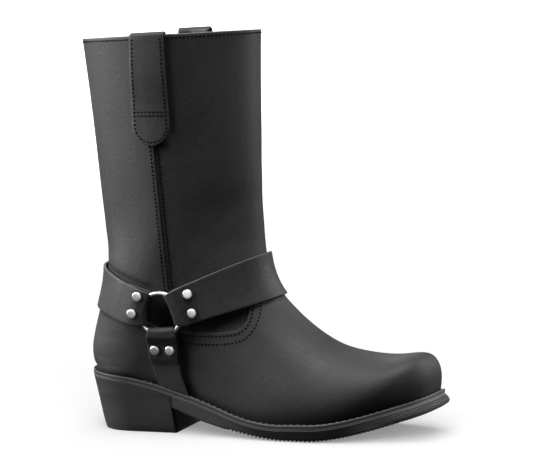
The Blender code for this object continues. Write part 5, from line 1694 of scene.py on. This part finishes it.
def make_floor_suns(floor_piece):
    """Soft lights for the floor alone, which only the sole keeps off; the boot has its own light."""
    lit_floor = bpy.data.collections.new("lit_floor")
    lit_floor.objects.link(floor_piece)
    for sun in FLOOR_SUNS:
        made = make_light(sun.name, "SUN", Vector(sun.towards), lit_floor,
                          angle=math.radians(sun.angle), energy=sun.strength)
        made.light_linking.blocker_collection = lit("sole_rubber")


def make_sky(stage):
    """Even sky above the horizon and a dim ground below it."""
    world = bpy.data.worlds.new("sky")
    world.use_nodes = True
    wire = Wire(world.node_tree)
    spot = wire.node("ShaderNodeTexCoord", output="Generated")
    height = wire.node("ShaderNodeSeparateXYZ", None, {"Vector": spot}, "Z")
    ground, sky = (rgba([level] * 3) for level in (stage.ground, stage.sky))
    background = world.node_tree.nodes["Background"]
    wire.feed(background.inputs["Color"], height.ramp(-HORIZON, HORIZON).blend(ground, sky))
    bpy.context.scene.world = world


def make_lamp(lamp):
    made = make_light(lamp.name, "AREA", Vector(lamp.place) - Vector(lamp.aim), lit(lamp.lights),
                      shape="RECTANGLE", size=lamp.size[0], size_y=lamp.size[1], energy=lamp.power)
    made.location = lamp.place


def make_camera(stage):
    """Camera at the photograph's viewing angle, turned a little so that the boot is in the middle."""
    yaw, rise, roll = stage.camera_yaw, stage.camera_rise, stage.camera_roll
    right = Vector((math.cos(yaw), math.sin(yaw), 0.0))
    back = Vector((math.sin(yaw) * math.cos(rise), -math.cos(yaw) * math.cos(rise), math.sin(rise)))
    up = back.cross(right)
    right, up = (right * math.cos(roll) - up * math.sin(roll), right * math.sin(roll) + up * math.cos(roll))
    position = Vector(stage.camera_target) + back * stage.camera_distance
    back = (back - right * stage.camera_pan - up * stage.camera_tilt).normalized()
    right = (right - back * right.dot(back)).normalized()
    up = back.cross(right)
    data = bpy.data.cameras.new("camera")
    data.sensor_width = SENSOR
    data.lens = stage.lens
    data.clip_end = FAR_CLIP
    camera = link("camera", data)
    axes = Matrix((right, up, back)).transposed().to_4x4()
    axes.translation = position
    camera.matrix_world = axes
    bpy.context.scene.camera = camera


# Settings

def number_setting(name, description, default, **form):
    return FloatProperty(name=name, description=description, default=default, **form)


def share_setting(name, description, default):
    return number_setting(name, description, default, min=0.0, max=1.0, subtype="FACTOR")


def length_setting(name, description, default):
    return number_setting(name, description, default, min=0.0, unit="LENGTH", precision=5)


def angle_setting(name, description, default):
    return number_setting(name, description, math.radians(default), subtype="ANGLE")


def colour_setting(name, description, default):
    return FloatVectorProperty(name=name, description=description, default=default, size=3,
                               min=0.0, max=1.0, subtype="COLOR")


class BootLeather(bpy.types.PropertyGroup):
    """Leather of the upper, the straps and the inside."""
    upper_colour: colour_setting("Upper", "Dye of the upper", (0.0200, 0.0195, 0.0197))
    strap_colour: colour_setting("Straps", "Dye of the straps and pull loops", (0.0200, 0.0196, 0.0196))
    piping_colour: colour_setting("Piping", "Dye of the side piping", (0.0015, 0.0015, 0.0015))
    edge_colour: colour_setting("Cut edges", "Raw edges of collar and straps", (0.12, 0.118, 0.115))
    lining_colour: colour_setting("Lining", "Inside of the shaft and foot", (0.030, 0.027, 0.025))
    insole_colour: colour_setting("Insole", "Sock lining", (0.045, 0.037, 0.032))
    grain: length_setting("Grain", "Size of the grain's pebbles", 0.0009)
    roughness: share_setting("Roughness", "Dullness of the leather", 0.60)
    creases: number_setting("Creases", "Depth of the soft folds, as a factor", 1.0, min=0.0)


class BootThread(bpy.types.PropertyGroup):
    """Stitching of the upper and the welt."""
    seam_colour: colour_setting("Seams", "Thread of the upper", (0.0006, 0.0006, 0.0006))
    seam_pitch: length_setting("Seam pitch", "Distance from stitch to stitch on the upper", 0.0031)
    seam_length: length_setting("Seam stitch", "Length of a stitch on the upper", 0.0020)
    seam_width: length_setting("Seam thread", "Width of a stitch on the upper", 0.0013)
    welt_colour: colour_setting("Welt", "Thread of the welt", (0.08, 0.078, 0.076))
    welt_pitch: length_setting("Welt pitch", "Distance from stitch to stitch on the welt", 0.0052)
    welt_length: length_setting("Welt stitch", "Length of a stitch on the welt", 0.0040)
    welt_width: length_setting("Welt thread", "Width of a stitch on the welt", 0.0011)


class BootSole(bpy.types.PropertyGroup):
    """Outsole and welt."""
    colour: colour_setting("Rubber", "Outsole and welt", (0.028, 0.028, 0.028))
    groove: length_setting("Groove", "Depth of the fine grooves round the edge", 0.00045)
    tread_pitch: length_setting("Tread pitch", "Distance from rib to rib", 0.0034)
    tread_depth: length_setting("Tread depth", "Height of the ribs", 0.0015)


class BootNickel(bpy.types.PropertyGroup):
    """Rings and rivets."""
    colour: colour_setting("Nickel", "Plate of rings and rivets", (0.80, 0.79, 0.78))
    roughness: share_setting("Roughness", "Dullness of the plate", 0.4)
    rivet_size: number_setting("Rivet size", "Size of the rivets, as a factor", 1.0, min=0.1)


class BootStage(bpy.types.PropertyGroup):
    """Floor, light and camera."""
    floor_colour: colour_setting("Floor", "Paper of the floor and wall", (0.86, 0.86, 0.86))
    sky: number_setting("Sky", "Strength of the even light from above", 0.22, min=0.0)
    ground: number_setting("Ground", "Strength of the light from below", 0.07, min=0.0)
    camera_target: FloatVectorProperty(name="Target", description="Point that the view turns about", size=3,
                                       default=(-0.015, 0.0, 0.150), subtype="TRANSLATION", unit="LENGTH")
    camera_distance: length_setting("Distance", "Camera from the target", 1.810)
    camera_yaw: angle_setting("Yaw", "View from in front of the lateral side", 20.29)
    camera_rise: angle_setting("Rise", "View from above", 5.95)
    camera_roll: angle_setting("Roll", "Camera turned about its own axis", 1.76)
    camera_pan: number_setting("Pan", "Aim to the right, as a slope", 0.01044)
    camera_tilt: number_setting("Tilt", "Aim upwards, as a slope", 0.00235)
    lens: number_setting("Lens", "Focal length", 155.2, min=1.0, unit="CAMERA")


# Operators

class BOOT_OT_upper(bpy.types.Operator):
    """Make the leather upper with its lining and its stitch rows"""
    bl_idname = "boot.upper"
    bl_label = "Upper"

    def execute(self, context):
        upper = UpperSkin(context.scene.boot_leather.creases)
        make_upper(upper)
        parts = upper_seams(upper)
        for side in SIDE_NAMES:
            parts += side_seams(side) + pull_loop_seams(side)
        make_stitches("seam", parts, "upper_leather")
        return {"FINISHED"}


class BOOT_OT_harness(bpy.types.Operator):
    """Make the straps over the instep, round the heel and down to the sole"""
    bl_idname = "boot.harness"
    bl_label = "Harness straps"

    def execute(self, context):
        for arm in (INSTEP_ARM, HEEL_ARM):
            make_strap(arm.name + "_strap", joined_arms(arm), arm.root_half)
        for side, name in SIDE_NAMES.items():
            make_strap("sole_strap_" + name, arm_loops(SOLE_ARM, side, SOLE_FAR_STEPS), SOLE_ARM.root_half)
        return {"FINISHED"}


class BOOT_OT_hardware(bpy.types.Operator):
    """Make the nickel rings and rivets of the harness"""
    bl_idname = "boot.hardware"
    bl_label = "Rings and rivets"

    def execute(self, context):
        for side in SIDE_NAMES:
            make_ring(side)
        seats, facings, names = rivet_seats()
        cap = rivet_shape()
        piece = joined("boot_rivets", [(place(seats), np.zeros((0, 2)), {"facing": facings})])
        size = context.scene.boot_nickel.rivet_size
        grown(piece, rivet_tree(), {"Rivet": cap, "Size": size, "Material": finish("nickel")})
        bpy.data.objects.remove(cap)
        fit(piece, "nickel", *names)
        return {"FINISHED"}


class BOOT_OT_pull_loops(bpy.types.Operator):
    """Make the pull loops over the collar"""
    bl_idname = "boot.pull_loops"
    bl_label = "Pull loops"

    def execute(self, context):
        for side, name in SIDE_NAMES.items():
            make_strap("pull_loop_" + name, pull_loop_loops(side), LOOP_HALF_HIGH, LOOP_RAW)
        return {"FINISHED"}


class BOOT_OT_piping(bpy.types.Operator):
    """Make the piping down the side seams"""
    bl_idname = "boot.piping"
    bl_label = "Side piping"

    def execute(self, context):
        for side in SIDE_NAMES:
            make_piping(side)
        return {"FINISHED"}


class BOOT_OT_sole(bpy.types.Operator):
    """Make the outsole with its heel and tread, the welt with its stitches, and the insole"""
    bl_idname = "boot.sole"
    bl_label = "Sole"

    def execute(self, context):
        sole = context.scene.boot_sole
        make_outsole(sole.groove / MM, sole.tread_depth / MM)
        make_tread(sole.tread_pitch / MM, sole.tread_depth / MM)
        make_welt()
        make_stitches("welt", welt_seam(), "sole_rubber")
        make_insole()
        return {"FINISHED"}


class BOOT_OT_stage(bpy.types.Operator):
    """Make the floor, the soft studio light and the camera"""
    bl_idname = "boot.stage"
    bl_label = "Stage"

    def execute(self, context):
        stage = context.scene.boot_stage
        make_floor_suns(make_bowl(stage.floor_colour))
        for lamp in LAMPS:
            make_lamp(lamp)
        make_sky(stage)
        context.scene.view_settings.view_transform = "Standard"
        make_camera(stage)
        return {"FINISHED"}


class BOOT_PT_panel(bpy.types.Panel):
    """Settings and steps of the boot"""
    bl_idname = "BOOT_PT_panel"
    bl_label = "Harness boot"
    bl_space_type = "VIEW_3D"
    bl_region_type = "UI"
    bl_category = "Boot"

    def draw(self, context):
        for label, settings in SETTINGS.items():
            box = self.layout.box()
            box.label(text=settings.__doc__)
            group = getattr(context.scene, label)
            for key in settings.__annotations__:
                box.prop(group, key)
        for step in STEPS:
            self.layout.operator(step.bl_idname)


SETTINGS = {
    "boot_leather": BootLeather,
    "boot_thread": BootThread,
    "boot_sole": BootSole,
    "boot_nickel": BootNickel,
    "boot_stage": BootStage,
}
STEPS = (BOOT_OT_upper, BOOT_OT_harness, BOOT_OT_hardware, BOOT_OT_pull_loops, BOOT_OT_piping, BOOT_OT_sole,
         BOOT_OT_stage)
CLASSES = (*SETTINGS.values(), *STEPS, BOOT_PT_panel)


def register():
    for kind in CLASSES:
        bpy.utils.register_class(kind)
    for label, settings in SETTINGS.items():
        setattr(bpy.types.Scene, label, PointerProperty(type=settings))


def unregister():
    for label in SETTINGS:
        delattr(bpy.types.Scene, label)
    for kind in reversed(CLASSES):
        bpy.utils.unregister_class(kind)


def main():
    register()
    bpy.ops.boot.stage()
    bpy.ops.boot.upper()
    bpy.ops.boot.harness()
    bpy.ops.boot.hardware()
    bpy.ops.boot.pull_loops()
    bpy.ops.boot.piping()
    bpy.ops.boot.sole()


if __name__ == "__main__":
    main()
